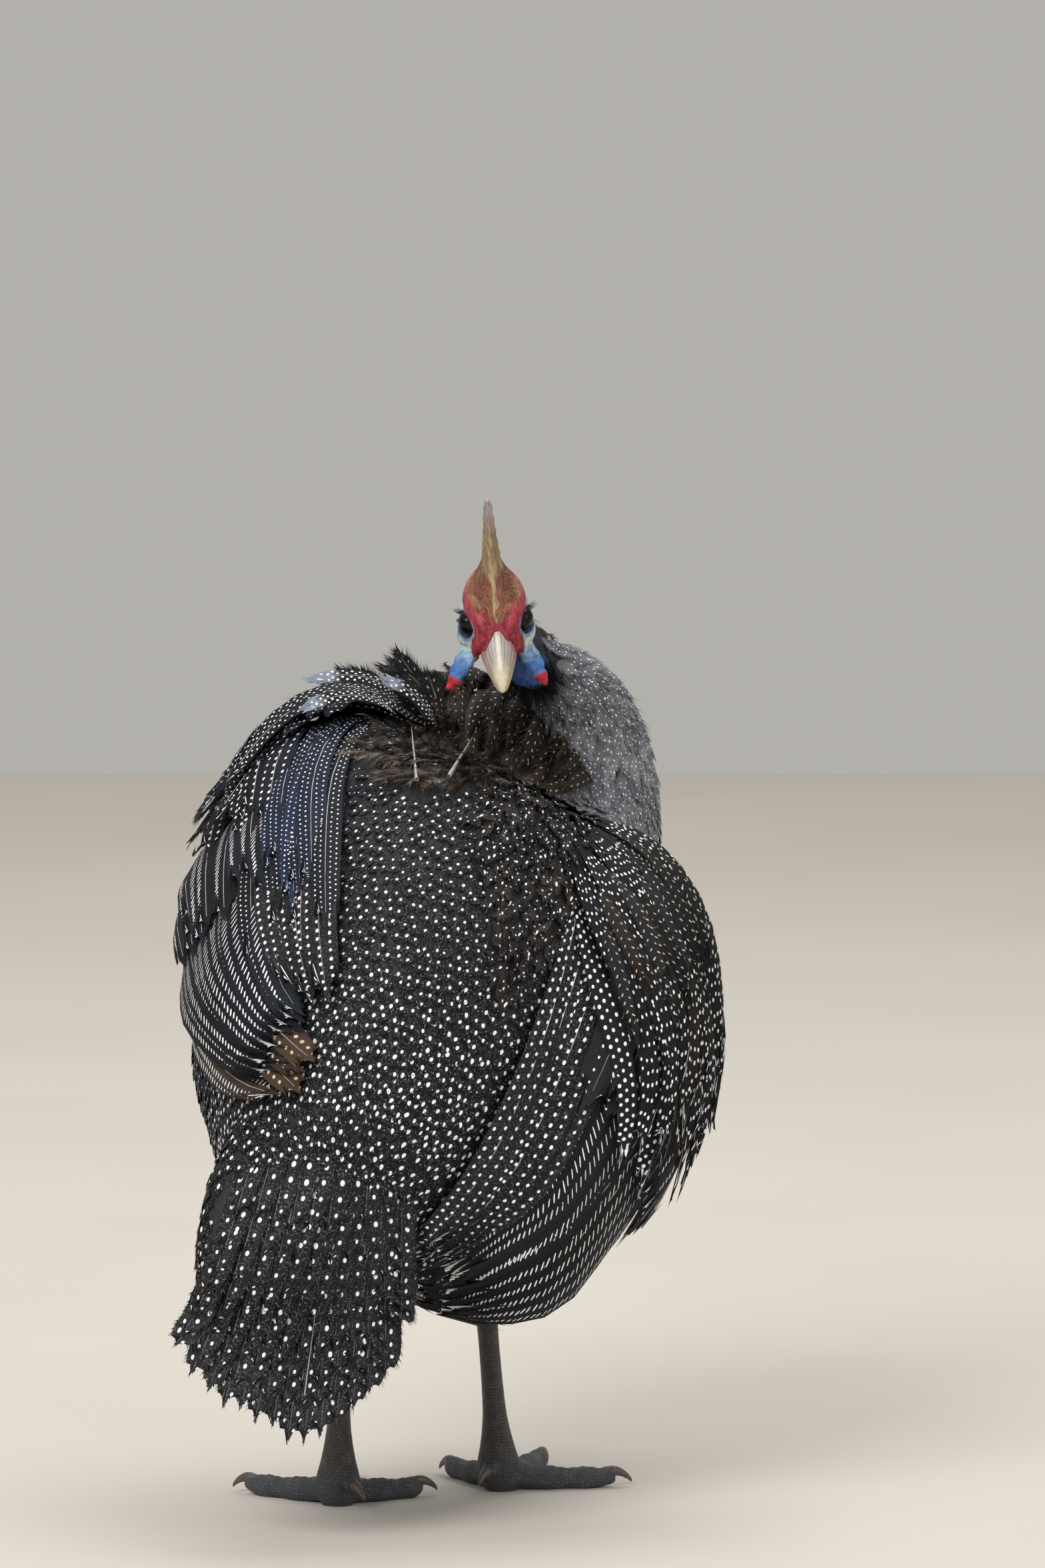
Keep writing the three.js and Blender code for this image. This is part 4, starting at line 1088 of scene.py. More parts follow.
def grow_vanes(shaft: Array, out: Array, width: Array, plume: Plume, tilt: float = 0.0) -> Vanes:
    """Makes feathers along their shafts.

    Args:
        shaft: points along each feather's shaft, as feathers, rows and x, y, z.
        out: the way out of the body at each of them.
        width: each feather's full width.
        plume: the kind of feather.
        tilt: how far one edge is raised over the other, in millimetres, at the tip.

    Returns:
        The feathers.
    """
    count, rows, _ = shaft.shape
    course = unit(np.gradient(shaft, axis=1))
    normal = unit(out - course * dot(course, out))
    across = np.cross(course, normal)
    turn = np.radians(RNG.normal(0, plume.twist, (count, 1, 1)))
    cos, sin = np.cos(turn), np.sin(turn)
    across, normal = across * cos + normal * sin, normal * cos - across * sin
    share = np.linspace(0, 1, rows)
    half = width[:, None] / 2 * along(plume.outline, share)[None]
    u = np.linspace(-1, 1, plume.columns)
    offset = half[..., None] * u
    sag = -plume.cup * half[..., None] * u**2 + tilt * u * share[None, :, None]
    grid = shaft[:, :, None] + across[:, :, None] * offset[..., None] + normal[:, :, None] * sag[..., None]
    length = np.linalg.norm(np.diff(shaft, axis=1), axis=2).sum(1)
    jag = RNG.uniform(-1, 1, (count, plume.columns)) * plume.ragged - 0.16 * u**2
    grid[:, -1] += course[:, -1][:, None] * (jag * length[:, None])[..., None]
    lean = unit(normal[:, :, None] + across[:, :, None] * (2 * plume.cup * u)[None, None, :, None])
    return Vanes(grid, lean, course, length, width / 2, plume)


def unwrap(points: Array) -> Array:
    """The place of points on a flat map of the skin's own shape: body below, neck and head above.

    Args:
        points: places on or near the skin, in millimetres.

    Returns:
        Their places on the map, from 0 to 1 each way.
    """
    forward, dorsal, rightward = TRUNK.axes()
    rel = points - np.array(TRUNK.centre)
    x, y, z = rel @ forward, rel @ rightward / 91, rel @ dorsal / 95
    lat = np.arctan2(x / 135, np.hypot(y, z)) / math.pi + 0.5
    body = np.column_stack([np.arctan2(y, z) / (2 * math.pi) * 0.98 + 0.5, 0.01 + lat * 0.62])
    neck = points[:, 2] > 312 - 0.35 * (points[:, 0] - 60)
    turn = np.arctan2(points[:, 0] - 58, points[:, 1] - 60) / (2 * math.pi) * 0.6 + 0.32
    upper = np.column_stack([turn, 0.66 + np.clip((points[:, 2] - 280) / 130, 0, 1) * 0.32])
    leg = points[:, 2] < 112
    below = 0.66 + np.clip(points[:, 2] / 120, 0, 1) * 0.3
    lower = np.column_stack([0.66 + (points[:, 0] + 120) / 240 * 0.32, below])
    return np.where(neck[:, None], upper, np.where(leg[:, None], lower, body))


class Batch:
    """Gathers points and faces of many small forms for one piece."""

    def __init__(self, name: str, material: bpy.types.Material, slot: Slot) -> None:
        """Starts an empty piece with its name, material and slot."""
        self.name, self.material, self.slot = name, material, slot
        self.points: list[Array] = []
        self.tone: list[Array] = []
        self.web: list[Array] = []
        self.patch: list[Array] = []
        self.faces: list[list[int]] = []
        self.size = 0

    def add(self, points: Array, faces: Array, tone: Array, web: Array, patch: Array) -> None:
        """Adds points with their colours, pattern places and map places, and faces over them."""
        self.points.append(points.reshape(-1, 3))
        self.tone.append(tone.reshape(-1, 4))
        self.web.append(web.reshape(-1, 2))
        self.patch.append(patch.reshape(-1, 2))
        self.faces.extend((np.asarray(faces) + self.size).tolist())
        self.size += len(self.points[-1])

    def make(self) -> None:
        """Makes the piece, which rides on the body."""
        piece = new_piece(self.name, np.concatenate(self.points), self.faces)
        piece.data.shade_smooth()
        dab(piece, np.concatenate(self.tone))
        corners = read(piece.data.loops, "vertex_index")[:, 0].astype(int)
        for title, places in (("Web", self.web), ("OFBake", self.patch)):
            layer = piece.data.uv_layers.new(name=title)
            layer.data.foreach_set("uv", np.concatenate(places)[corners].astype(np.float32).ravel())
        piece.data.materials.append(self.material)
        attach(piece, "root")
        log.info("%s: %d triangles", self.name, sum(len(face) - 2 for face in self.faces))


def grid_faces(count: int, rows: int, columns: int) -> Array:
    """Quads over a number of grids of points that follow one another."""
    corner = (np.arange(rows - 1)[:, None] * columns + np.arange(columns - 1)[None]).ravel()
    quads = np.stack([corner, corner + 1, corner + columns + 1, corner + columns], axis=1)
    return (quads[None] + (np.arange(count) * rows * columns)[:, None, None]).reshape(-1, 4)


def pale_tips(shade: Array, s: Array, tip: str) -> None:
    """Turns feathers pale at the ends, where s nears 1, if they have a colour for their tips."""
    if tip:
        pale = smooth(s, 0.82, 0.92)[..., None]
        shade[..., :3] = shade[..., :3] * (1 - pale) + pale * np.array(linear(tip))


def patch_of(roots: Array, local: Array, across: float = 0.003) -> Array:
    """The OFBake places of tufts: a small patch each at its root's place on the skin's map.

    Args:
        roots: the tufts' roots.
        local: places inside each tuft from -0.5 to 0.5.
        across: the patch's size.

    Returns:
        Map places, shaped like local.
    """
    centre = unwrap(roots)
    return centre.reshape(len(roots), *([1] * (local.ndim - 2)), 2) + local * across


class Plumage:
    """The coat's pieces: webs, barbs, spots with their black rings, and shafts."""

    def __init__(self) -> None:
        """Starts the coat's materials and empty pieces."""
        self.web_finish = feather_finish("Feather web, barbed keratin", 0.62)
        self.white = plain_finish("White feather barbs", "f4f6f9", 0.7, 1500, 0.08)
        self.black = plain_finish("Black feather barbs", "141418", 0.7, 1500, 0.4)
        self.quill = plain_finish("Quill, clear pale keratin", "c4c2bc", 0.35, 700, 0.3)
        self.batches: list[Batch] = []

    def batch(self, name: str, material: bpy.types.Material, slot: Slot = Slot.PLUMAGE) -> Batch:
        """A new piece of the coat."""
        self.batches.append(Batch(name, material, slot))
        return self.batches[-1]

    def webs(self, batch: Batch, vanes: Vanes, tone: Array, root_shade: float = 0.6, tip: str = "") -> None:
        """Adds the feathers' webs and the loose barbs along their edges.

        Args:
            batch: the piece that they go into.
            vanes: the feathers.
            tone: each feather's linear colour and speckle strength.
            root_shade: how dark the root is against the tip, as painted shade under the feathers that overlap
                it.
            tip: the sRGB colour of pale frayed tips, if they have them.
        """
        count, rows, columns, _ = vanes.grid.shape
        s, t = np.meshgrid(np.linspace(0, 1, rows), np.linspace(-1, 1, columns), indexing="ij")
        web = points_from(
            t[None] * vanes.half[:, None, None],
            s[None] * vanes.length[:, None, None] + np.arange(count)[:, None, None] * WEB_STEP,
        )
        local = np.broadcast_to(points_from(t / 2, s - 0.5)[None], (count, rows, columns, 2))
        shade = np.broadcast_to(tone[:, None, None], (count, rows, columns, 4)).copy()
        # Painted shade: each web darkens towards its root, where the feathers above overlap it.
        shade[..., :3] *= (root_shade + (1 - root_shade) * s)[None, ..., None]
        pale_tips(shade, s[None], tip)
        roots = vanes.grid[:, 0, columns // 2]
        batch.add(vanes.grid, grid_faces(count, rows, columns), shade, web, patch_of(roots, local))
        self.barbs(batch, vanes, tone, roots, tip)

    def barbs(self, batch: Batch, vanes: Vanes, tone: Array, roots: Array, tip: str = "") -> None:
        """Adds pointed loose barbs along the feathers' edges and over their tips."""
        plume = vanes.plume
        feather = np.arange(vanes.count)[:, None]
        rows = []
        for sign in (-1, 1):
            if plume.barbs:
                stray = RNG.uniform(-0.03, 0.03, (vanes.count, plume.barbs))
                s = np.linspace(0.3, 0.99, plume.barbs)[None] + stray
                rows.append((s, np.full_like(s, sign), plume.barb_half / vanes.length[:, None], 0.0))
        if plume.tip_barbs:
            stray = RNG.uniform(-0.1, 0.1, (vanes.count, plume.tip_barbs))
            t = np.linspace(-0.95, 0.95, plume.tip_barbs)[None] + stray
            edge = vanes.half[:, None] * plume.outline[-1][1]
            rows.append((np.ones_like(t), t, 0.0, np.minimum(plume.barb_half / edge, 0.8)))
        for s, t, ds, dt in rows:
            low = vanes.sample(vanes.grid, feather, s - ds, t - dt)
            high = vanes.sample(vanes.grid, feather, s + ds, t + dt)
            out = vanes.sample(vanes.out, feather, s, t)
            course = vanes.course[feather, np.clip((s * (plume.rows - 1)).astype(int), 0, plume.rows - 1)]
            aside = np.cross(course, out)
            reach = plume.barb_length * RNG.uniform(0.45, 1.25, s.shape)[..., None]
            lean = (0.35 if np.ndim(dt) else 0.75) * t[..., None]
            rise = out * RNG.normal(0.0, plume.loose, s.shape)[..., None]
            point = (low + high) / 2 + reach * unit(course + aside * lean + rise)
            triangle = np.stack([low, high, point], axis=2)
            number = np.arange(triangle[..., 0, 0].size).reshape(-1, 1) * 3 + np.arange(3)
            web = points_from(t * vanes.half[:, None], s * vanes.length[:, None] + feather * WEB_STEP)
            web = np.repeat(web[:, :, None], 3, axis=2)
            shade = np.broadcast_to(tone[:, None, None], (*triangle.shape[:3], 4)).copy()
            shade[..., 2, :3] *= 1.25
            pale_tips(shade, s[..., None], tip)
            local = points_from(t / 2, s - 0.5)[:, :, None] * np.ones((1, 1, 3, 1))
            batch.add(triangle, number, shade, web, patch_of(roots, local))

    def marks(
        self, batch: Batch, vanes: Vanes, feather: Array, s: Array, t: Array, long: Array, wide: Array,
        turn: Array, lift: float, sides: int = 8, power: float = 1.0,
    ) -> None:
        """Adds oval marks that lie on the webs.

        Args:
            batch: the piece that they go into.
            vanes: the feathers under them.
            feather: each mark's feather.
            s: its place along the feather, from 0 to 1.
            t: its place across, from -1 to 1.
            long: its half length.
            wide: its half width.
            turn: how far it is turned from the shaft, in degrees.
            lift: its height over the web.
            sides: its number of corners.
            power: below 1 for blunter ends.
        """
        cos, sin = np.cos(circle(sides))[None], np.sin(circle(sides))[None]
        x = long[:, None] * np.sign(cos) * np.abs(cos) ** power
        y = wide[:, None] * np.sign(sin) * np.abs(sin) ** power
        r = np.radians(turn)[:, None]
        x, y = x * np.cos(r) - y * np.sin(r), x * np.sin(r) + y * np.cos(r)
        width = np.maximum(vanes.width_at(feather, s), 0.5)[:, None]
        where = (
            np.clip(s[:, None] + x / vanes.length[feather][:, None], 0, 0.985),
            np.clip(t[:, None] + y / width, -0.95, 0.95),
        )
        points = vanes.sample(vanes.grid, feather[:, None], *where)
        points = points + vanes.sample(vanes.out, feather[:, None], *where) * lift
        faces = np.arange(points[..., 0].size).reshape(-1, sides)
        tone = np.ones((*points.shape[:2], 4))
        local = np.broadcast_to(np.stack([cos / 2, sin / 2], axis=-1), (*points.shape[:2], 2)) * 0.3
        roots = vanes.grid[feather, 0, vanes.plume.columns // 2]
        batch.add(points, faces, tone, points[..., :2] * 0, patch_of(roots, local))

    def shafts(self, batch: Batch, vanes: Vanes, width: float, until: float = 0.92, steps: int = 10) -> None:
        """Adds each feather's shaft as a thin raised strip that tapers to its tip."""
        s = np.linspace(0, until, steps)[None] * np.ones((vanes.count, 1))
        feather = np.arange(vanes.count)[:, None]
        web_half = np.maximum(vanes.width_at(np.broadcast_to(feather, s.shape), s), 0.5)
        half = (width / 2 * (1 - 0.75 * np.linspace(0, 1, steps)))[None] / web_half
        sides = []
        for t, lift in ((-half, 0.08), (0 * half, 0.08 + width * 0.35), (half, 0.08)):
            middle, out = (vanes.sample(grid, feather, s, t) for grid in (vanes.grid, vanes.out))
            sides.append(middle + lift * out)
        points = np.stack(sides, axis=2)
        local = np.zeros((*points.shape[:3], 2))
        tone = np.ones((*points.shape[:3], 4))
        roots = vanes.grid[:, 0, vanes.plume.columns // 2]
        faces = grid_faces(vanes.count, steps, 3)
        batch.add(points, faces, tone, points[..., :2] * 0, patch_of(roots, local))

    def make(self) -> None:
        """Makes all of the coat's pieces."""
        for batch in self.batches:
            batch.make()




class Pattern(Enum):
    """How the white marks lie on a feather."""

    SPOTS = "ovals in black rings"
    DOTS = "rows of small dots along the shaft"
    STROKES = "slanting strokes along the barbs"
    BANDS = "bands of short strokes across"
    CREAM = "fine cream strokes"
    LINES = "lines of small round dots"
    BARS = "white bars on both webs"
    WEDGES = "cream wedges"


@dataclass(frozen=True)
class Zone:
    """The small feathers of one part of the body. Sizes are in millimetres."""

    name: str
    spacing: float
    length: float
    width: float
    colours: tuple[str, ...]
    speckle: float
    lift: float
    marks: tuple[tuple[float, float, float, float], ...] = ()
    ring: float = 0.0
    slot: Slot = Slot.PLUMAGE
    plume: Plume = Plume()
    scatter: float = 9.0
    most: int = 2600


BODY_PLUME = Plume(rows=5, columns=3, barbs=8, tip_barbs=9, barb_length=1.4, ragged=0.04, twist=2)
SOFT_PLUME = Plume(
    rows=6, columns=5, barbs=15, tip_barbs=10, barb_length=3.6, barb_half=0.17,
    ragged=0.2, twist=14, loose=0.18,
)
FINE_PLUME = Plume(
    rows=5, columns=5, barbs=7, tip_barbs=7, barb_length=1.4, barb_half=0.2, ragged=0.08, twist=6
)
DOWN_PLUME = Plume(
    rows=6, columns=3, outline=((0, 0.3), (1, 0.3)), barbs=20, tip_barbs=5, barb_length=4.4, barb_half=0.13,
    ragged=0.2, twist=40, loose=0.3,
)
ZONES = (
    Zone("back", 4.9, 14, 9, ("0f0f13", "141418", "0d0d11"), 0.45, 0.8,
         ((0.79, 0.0, 0.94, 0.72), (0.9, -0.62, 0.34, 0.2), (0.9, 0.62, 0.34, 0.2)), 1.8,
         plume=BODY_PLUME, scatter=2),
    Zone("flank", 6.4, 18, 12, ("151519", "1a1a1e"), 0.45, 1.2, ((0.79, 0, 1.3, 0.95),), 2.0,
         plume=BODY_PLUME, scatter=3),
    Zone("cape", 3.3, 12, 5.4, ("7b7d83", "888a90", "70727a"), 0.3, 1.6,
         ((0.88, -0.3, 0.6, 0.42), (0.8, 0.5, 0.55, 0.4), (0.66, -0.7, 0.5, 0.36), (0.62, 0.2, 0.5, 0.34)),
         0.0, Slot.HACKLE, replace(SOFT_PLUME, barb_length=2.2, loose=0.1, twist=8, ragged=0.12), 8),
    Zone("breast", 4.6, 14, 7.5, ("36363a", "424246", "2b2b30"), 0.4, 1.6,
         ((0.82, 0, 0.9, 0.66),), 1.4, Slot.HACKLE, BODY_PLUME, 6),
    Zone("mantle", 4.2, 15, 6, ("2c2520", "3a3029", "231e1b", "453930"), 0.1, 2.6,
         ((0.88, 0.3, 0.8, 0.24), (0.6, -0.5, 0.75, 0.22)), 0.0, plume=SOFT_PLUME, scatter=14),
    Zone("ruffled", 4.4, 15, 7, ("19181a", "25211f", "151517", "302924"), 0.25, 2.2,
         ((0.84, 0.0, 0.95, 0.55), (0.62, -0.55, 0.6, 0.36), (0.62, 0.55, 0.6, 0.36)), 0.0,
         plume=replace(SOFT_PLUME, barb_length=2.4, loose=0.1), scatter=12),
    Zone("coverts", 4.8, 14, 8.5, ("1b1d24", "1f2534", "17171b"), 0.05, 1.0,
         ((0.86, -0.4, 0.6, 0.4), (0.86, 0.4, 0.6, 0.4)), 0.0, plume=BODY_PLUME, scatter=4),
    Zone("thigh", 4.6, 11, 6.5, ("1f1f23", "27272b"), 0.35, 1.2,
         ((0.82, 0, 0.85, 0.62),), 1.4, plume=FINE_PLUME),
    Zone("hollow", 2.7, 13, 2.6, ("5a4f46", "443a32", "756a60", "2f2823"), 0.0, 4.5, (), 0.0,
         plume=DOWN_PLUME, scatter=40),
)
RUFFLED: Marks = ((-14, 30, 37), (0, 20, 42), (14, 8, 44), (30, 2, 46), (44, -20, 50), (58, -40, 56))


ROW_GAP = 2.35  # degrees of latitude between the back's staggered rows
COLUMNS = 112  # feathers in a full row round the body


class BodyCoat:
    """The small feathers all over the body, neck and thighs."""

    def __init__(self, skin: bpy.types.Object, coat: Plumage) -> None:
        """Reads the skin that the feathers grow on."""
        self.coat = coat
        faces = skin.data.polygons
        self.centres = read(faces, "center", 3) * 1000 - SHIFT
        self.areas = read(faces, "area")[:, 0]
        self.tree = BVHTree.FromPolygons(points_of(skin).tolist(), [list(face.vertices) for face in faces])

    def limb_place(self, limb: Limb, points: Array) -> tuple[Array, Array, Array]:
        """The share along a limb next to each point, how far out it is, and the limb's course there."""
        share = np.linspace(0, 1, 60)
        centre, course, _, _, sizes = limb.frame(share)
        gap = np.linalg.norm(points[:, None] - centre[None], axis=2) / sizes.mean(1)[None]
        best = gap.argmin(1)
        return share[best], gap[np.arange(len(points)), best], course[best]

    def zones(self, points: Array) -> tuple[Array, Array]:
        """The zone number and the lie of the feathers at each point."""
        forward, dorsal, rightward = TRUNK.axes()
        rel = points - np.array(TRUNK.centre)
        x, y, z = rel @ forward, rel @ rightward, rel @ dorsal
        lat = np.degrees(np.arcsin(np.clip(x / np.where(x > 0, TRUNK.front + 8, TRUNK.rear), -1, 1)))
        turn = np.degrees(np.arctan2(y / TRUNK.side, z / np.where(z > 0, TRUNK.back, TRUNK.belly)))
        names = [zone.name for zone in ZONES]
        number = np.full(len(points), names.index("back"))
        lie = np.tile(-forward, (len(points), 1))
        number[np.abs(turn) > 112] = names.index("flank")
        pads = trunk_height(lat, turn) > 1.5
        number[pads] = names.index("coverts")
        share, gap, course = self.limb_place(NECK, points)
        on_neck = (gap < 1.14) & (share > 0.12)
        weight = smooth(1.3 - gap, 0, 0.3)[:, None] * smooth(share, 0.05, 0.3)[:, None]
        lie = lie * (1 - weight) - course * weight
        number[on_neck] = np.where(points[on_neck, 1] < 86, names.index("cape"), names.index("breast"))
        side_low, side_high = columns(RUFFLED, lat)
        number[(lat > -14) & (turn > side_low) & (turn < side_high) & ~on_neck] = names.index("ruffled")
        mantle = (lat > 50) & (turn > -95) & (turn < 60) & (gap > 1.02) & (z > 0)
        number[mantle] = names.index("mantle")
        hollow = ((lat - 37) / 17) ** 2 + ((turn + 10) / 24) ** 2 < 1
        number[hollow & ~on_neck & (lat > 18)] = names.index("hollow")
        for limb in THIGHS.values():
            share, gap, course = self.limb_place(limb, points)
            on = (gap < 1.1) & (share > 0.35)
            number[on] = names.index("thigh")
            lie[on] = course[on]
        share, gap, course = self.limb_place(TAIL_STUMP, points)
        near = smooth(1.35 - gap, 0, 0.4)[:, None]
        lie = lie * (1 - near) + course * near
        return number, unit(lie)

    def lattice(self) -> Array:
        """Roots in staggered rows over the trunk, so that their marks flow in lines."""
        places = []
        for row, lat in enumerate(np.arange(-80, 80, ROW_GAP)):
            every = 1 if math.cos(math.radians(lat)) > 0.66 else 2
            for column in range(0, COLUMNS, every):
                turn = -180 + (column + 0.5 * every * (row % 2)) * 360 / COLUMNS
                place = TRUNK.at(np.array(lat), np.array(turn), trunk_height(lat, turn) - 3.0)
                found, _, _, gap = self.tree.find_nearest(Vector(place))
                if gap < 5:
                    places.append(found)
        return np.array(places) + RNG.normal(0, 0.25, (len(places), 3))

    def sites(self) -> tuple[Array, Array, Array]:
        """Evenly scattered roots: places, zones and lies."""
        chance = self.areas * 1e6
        wanted = int(chance.sum() / 2.4)
        pick = RNG.choice(len(chance), wanted, p=chance / chance.sum())
        rows = self.lattice()
        points = np.concatenate([rows, self.centres[pick] + RNG.uniform(-0.7, 0.7, (wanted, 3))])
        ordered = np.arange(len(points)) < len(rows)
        keep = (bare_share(points) < 0.05) & (points[:, 2] > 84)
        points, ordered = points[keep], ordered[keep]
        number, lie = self.zones(points)
        stump, gap, _ = self.limb_place(TAIL_STUMP, points)
        keep = (stump < 0.3) | (gap > 1.25) | (points[:, 1] > -60)
        keep &= ~ordered | np.isin([ZONES[n].name for n in number], ("back", "flank", "coverts", "ruffled"))
        points, number, lie, ordered = (v[keep] for v in (points, number, lie, ordered))
        spacing = np.array([zone.spacing for zone in ZONES])[number] * np.where(ordered, 0.62, 1)
        kept = self.thin(points, spacing * 0.84)
        return points[kept], number[kept], lie[kept]

    @staticmethod
    def thin(points: Array, reach: Array, cell: float = 8.0) -> list[int]:
        """Keeps points one by one, each only if no kept one lies within its reach.

        Args:
            points: the points, in the order in which they are tried.
            reach: each one's least distance from the ones before it.
            cell: the size of the cells in which neighbours are looked up, over the largest reach.

        Returns:
            The numbers of the kept points.
        """
        kept: list[int] = []
        grid: dict[tuple[int, ...], list[int]] = {}
        steps = list(product((-1, 0, 1), repeat=3))
        for i, (x, y, z) in enumerate(np.floor(points / cell).astype(int).tolist()):
            rivals = [j for dx, dy, dz in steps for j in grid.get((x + dx, y + dy, z + dz), ())]
            if not rivals or np.sum((points[rivals] - points[i]) ** 2, axis=1).min() >= reach[i] * reach[i]:
                kept.append(i)
                grid.setdefault((x, y, z), []).append(i)
        return kept

    def lay(self, roots: Array, lie: Array, zone: Zone) -> tuple[Array, Array]:
        """Lays shafts along the skin from their roots, rising to their tips."""
        rows, count = zone.plume.rows, len(roots)
        length = zone.length * RNG.uniform(0.85, 1.15, count)
        angle = np.radians(RNG.normal(0, zone.scatter, count))
        shaft, out = np.empty((2, count, rows, 3))
        lifts = zone.lift * RNG.uniform(0.7, 1.3, count)
        for i in range(count):
            place, way = Vector(roots[i]), Vector(lie[i])
            for row in range(rows):
                found, normal, _, _ = self.tree.find_nearest(place)
                tangent = (way - normal * way.dot(normal)).normalized()
                if row == 0:
                    tangent = tangent * math.cos(angle[i]) + normal.cross(tangent) * math.sin(angle[i])
                    way = tangent
                share = row / (rows - 1)
                shaft[i, row] = found + normal * (-0.6 + (lifts[i] + 0.6) * share**0.8)
                out[i, row] = normal
                place = found + tangent * (length[i] / (rows - 1))
        out[:, 1:-1] = unit(out[:, :-2] + out[:, 1:-1] + out[:, 2:])
        return shaft, out

    def build(self) -> None:
        """Grows all zones' feathers with their marks."""
        points, number, lie = self.sites()
        log.info("body coat: %d feathers", len(points))
        spots = self.coat.batch("coat_spots", self.coat.white)
        rings = self.coat.batch("coat_rings", self.coat.black)
        groups = []
        for index, zone in enumerate(ZONES):
            members = np.flatnonzero(number == index)
            parts = max(1, -(-len(members) // zone.most))
            for k in range(parts):
                groups.append((zone, f"{zone.name}_{k + 1}" if parts > 1 else zone.name, members[k::parts]))
        for zone, name, chosen in groups:
            if not len(chosen):
                continue
            shaft, out = self.lay(points[chosen], lie[chosen], zone)
            width = zone.width * RNG.uniform(0.85, 1.15, len(shaft))
            vanes = grow_vanes(shaft, out, width, zone.plume)
            batch = self.coat.batch("coat_" + name, self.coat.web_finish, zone.slot)
            palette = np.array([linear(c) for c in zone.colours])
            colours = palette[RNG.integers(0, len(palette), len(shaft))]
            colours = colours * RNG.uniform(0.8, 1.2, (len(shaft), 1))
            self.coat.webs(batch, vanes, np.column_stack([colours, np.full(len(shaft), zone.speckle)]))
            feather = np.arange(len(shaft))
            for s, t, long, wide in zone.marks:
                here_s = s + RNG.normal(0, 0.03, len(shaft))
                here_t = t + RNG.normal(0, 0.08, len(shaft))
                scale = RNG.uniform(0.85, 1.15, len(shaft))
                lower = 1 - smooth(shaft[:, 0, 2], 190, 290) if zone.ring else 0 * width
                turn = RNG.normal(0, 12, len(shaft))
                long_here = long * scale * (0.88 + 0.4 * lower)
                wide_here = wide * scale * (0.9 + 0.16 * lower)
                shape = (feather, here_s, here_t, long_here, wide_here, turn)
                sides = 8 if long > 0.55 else 5
                if zone.ring and long > 0.55:
                    rim = zone.ring * 0.6
                    wider = (feather, here_s, here_t, long_here + rim, wide_here + rim, turn)
                    self.coat.marks(rings, vanes, *wider, 0.05)
                self.coat.marks(spots, vanes, *shape, 0.13, sides)


Guide = tuple[tuple[float, float], ...]


def course_of(guide: Guide, share: Array) -> Array:
    """A smooth curve through a guide's places, read at shares of its length."""
    marks = np.array(guide)
    at = np.linspace(0, 1, len(marks))
    fits = [np.polyfit(at, marks[:, k], min(3, len(marks) - 1)) for k in (0, 1)]
    return np.stack([np.polyval(fit, share) for fit in fits], axis=-1)


@dataclass(frozen=True)
class Tier:
    """A row of large feathers between a first and a last course, each given as latitudes and turns."""

    name: str
    count: int
    first: Guide
    last: Guide
    width: float
    lifts: tuple[float, float, float]
    pattern: Pattern
    colours: tuple[str, ...]
    speckle: float = 0.05
    slip: float = 1.5
    shaft: float = 0.5
    tip: str = ""
    plume: Plume = Plume(
        rows=14, columns=9,
        outline=((0, 0.35), (0.15, 0.72), (0.5, 1), (0.82, 0.92), (0.94, 0.68), (1, 0.38)),
        cup=0.08, barbs=26, tip_barbs=14, barb_length=1.5, ragged=0.03, twist=2,
    )


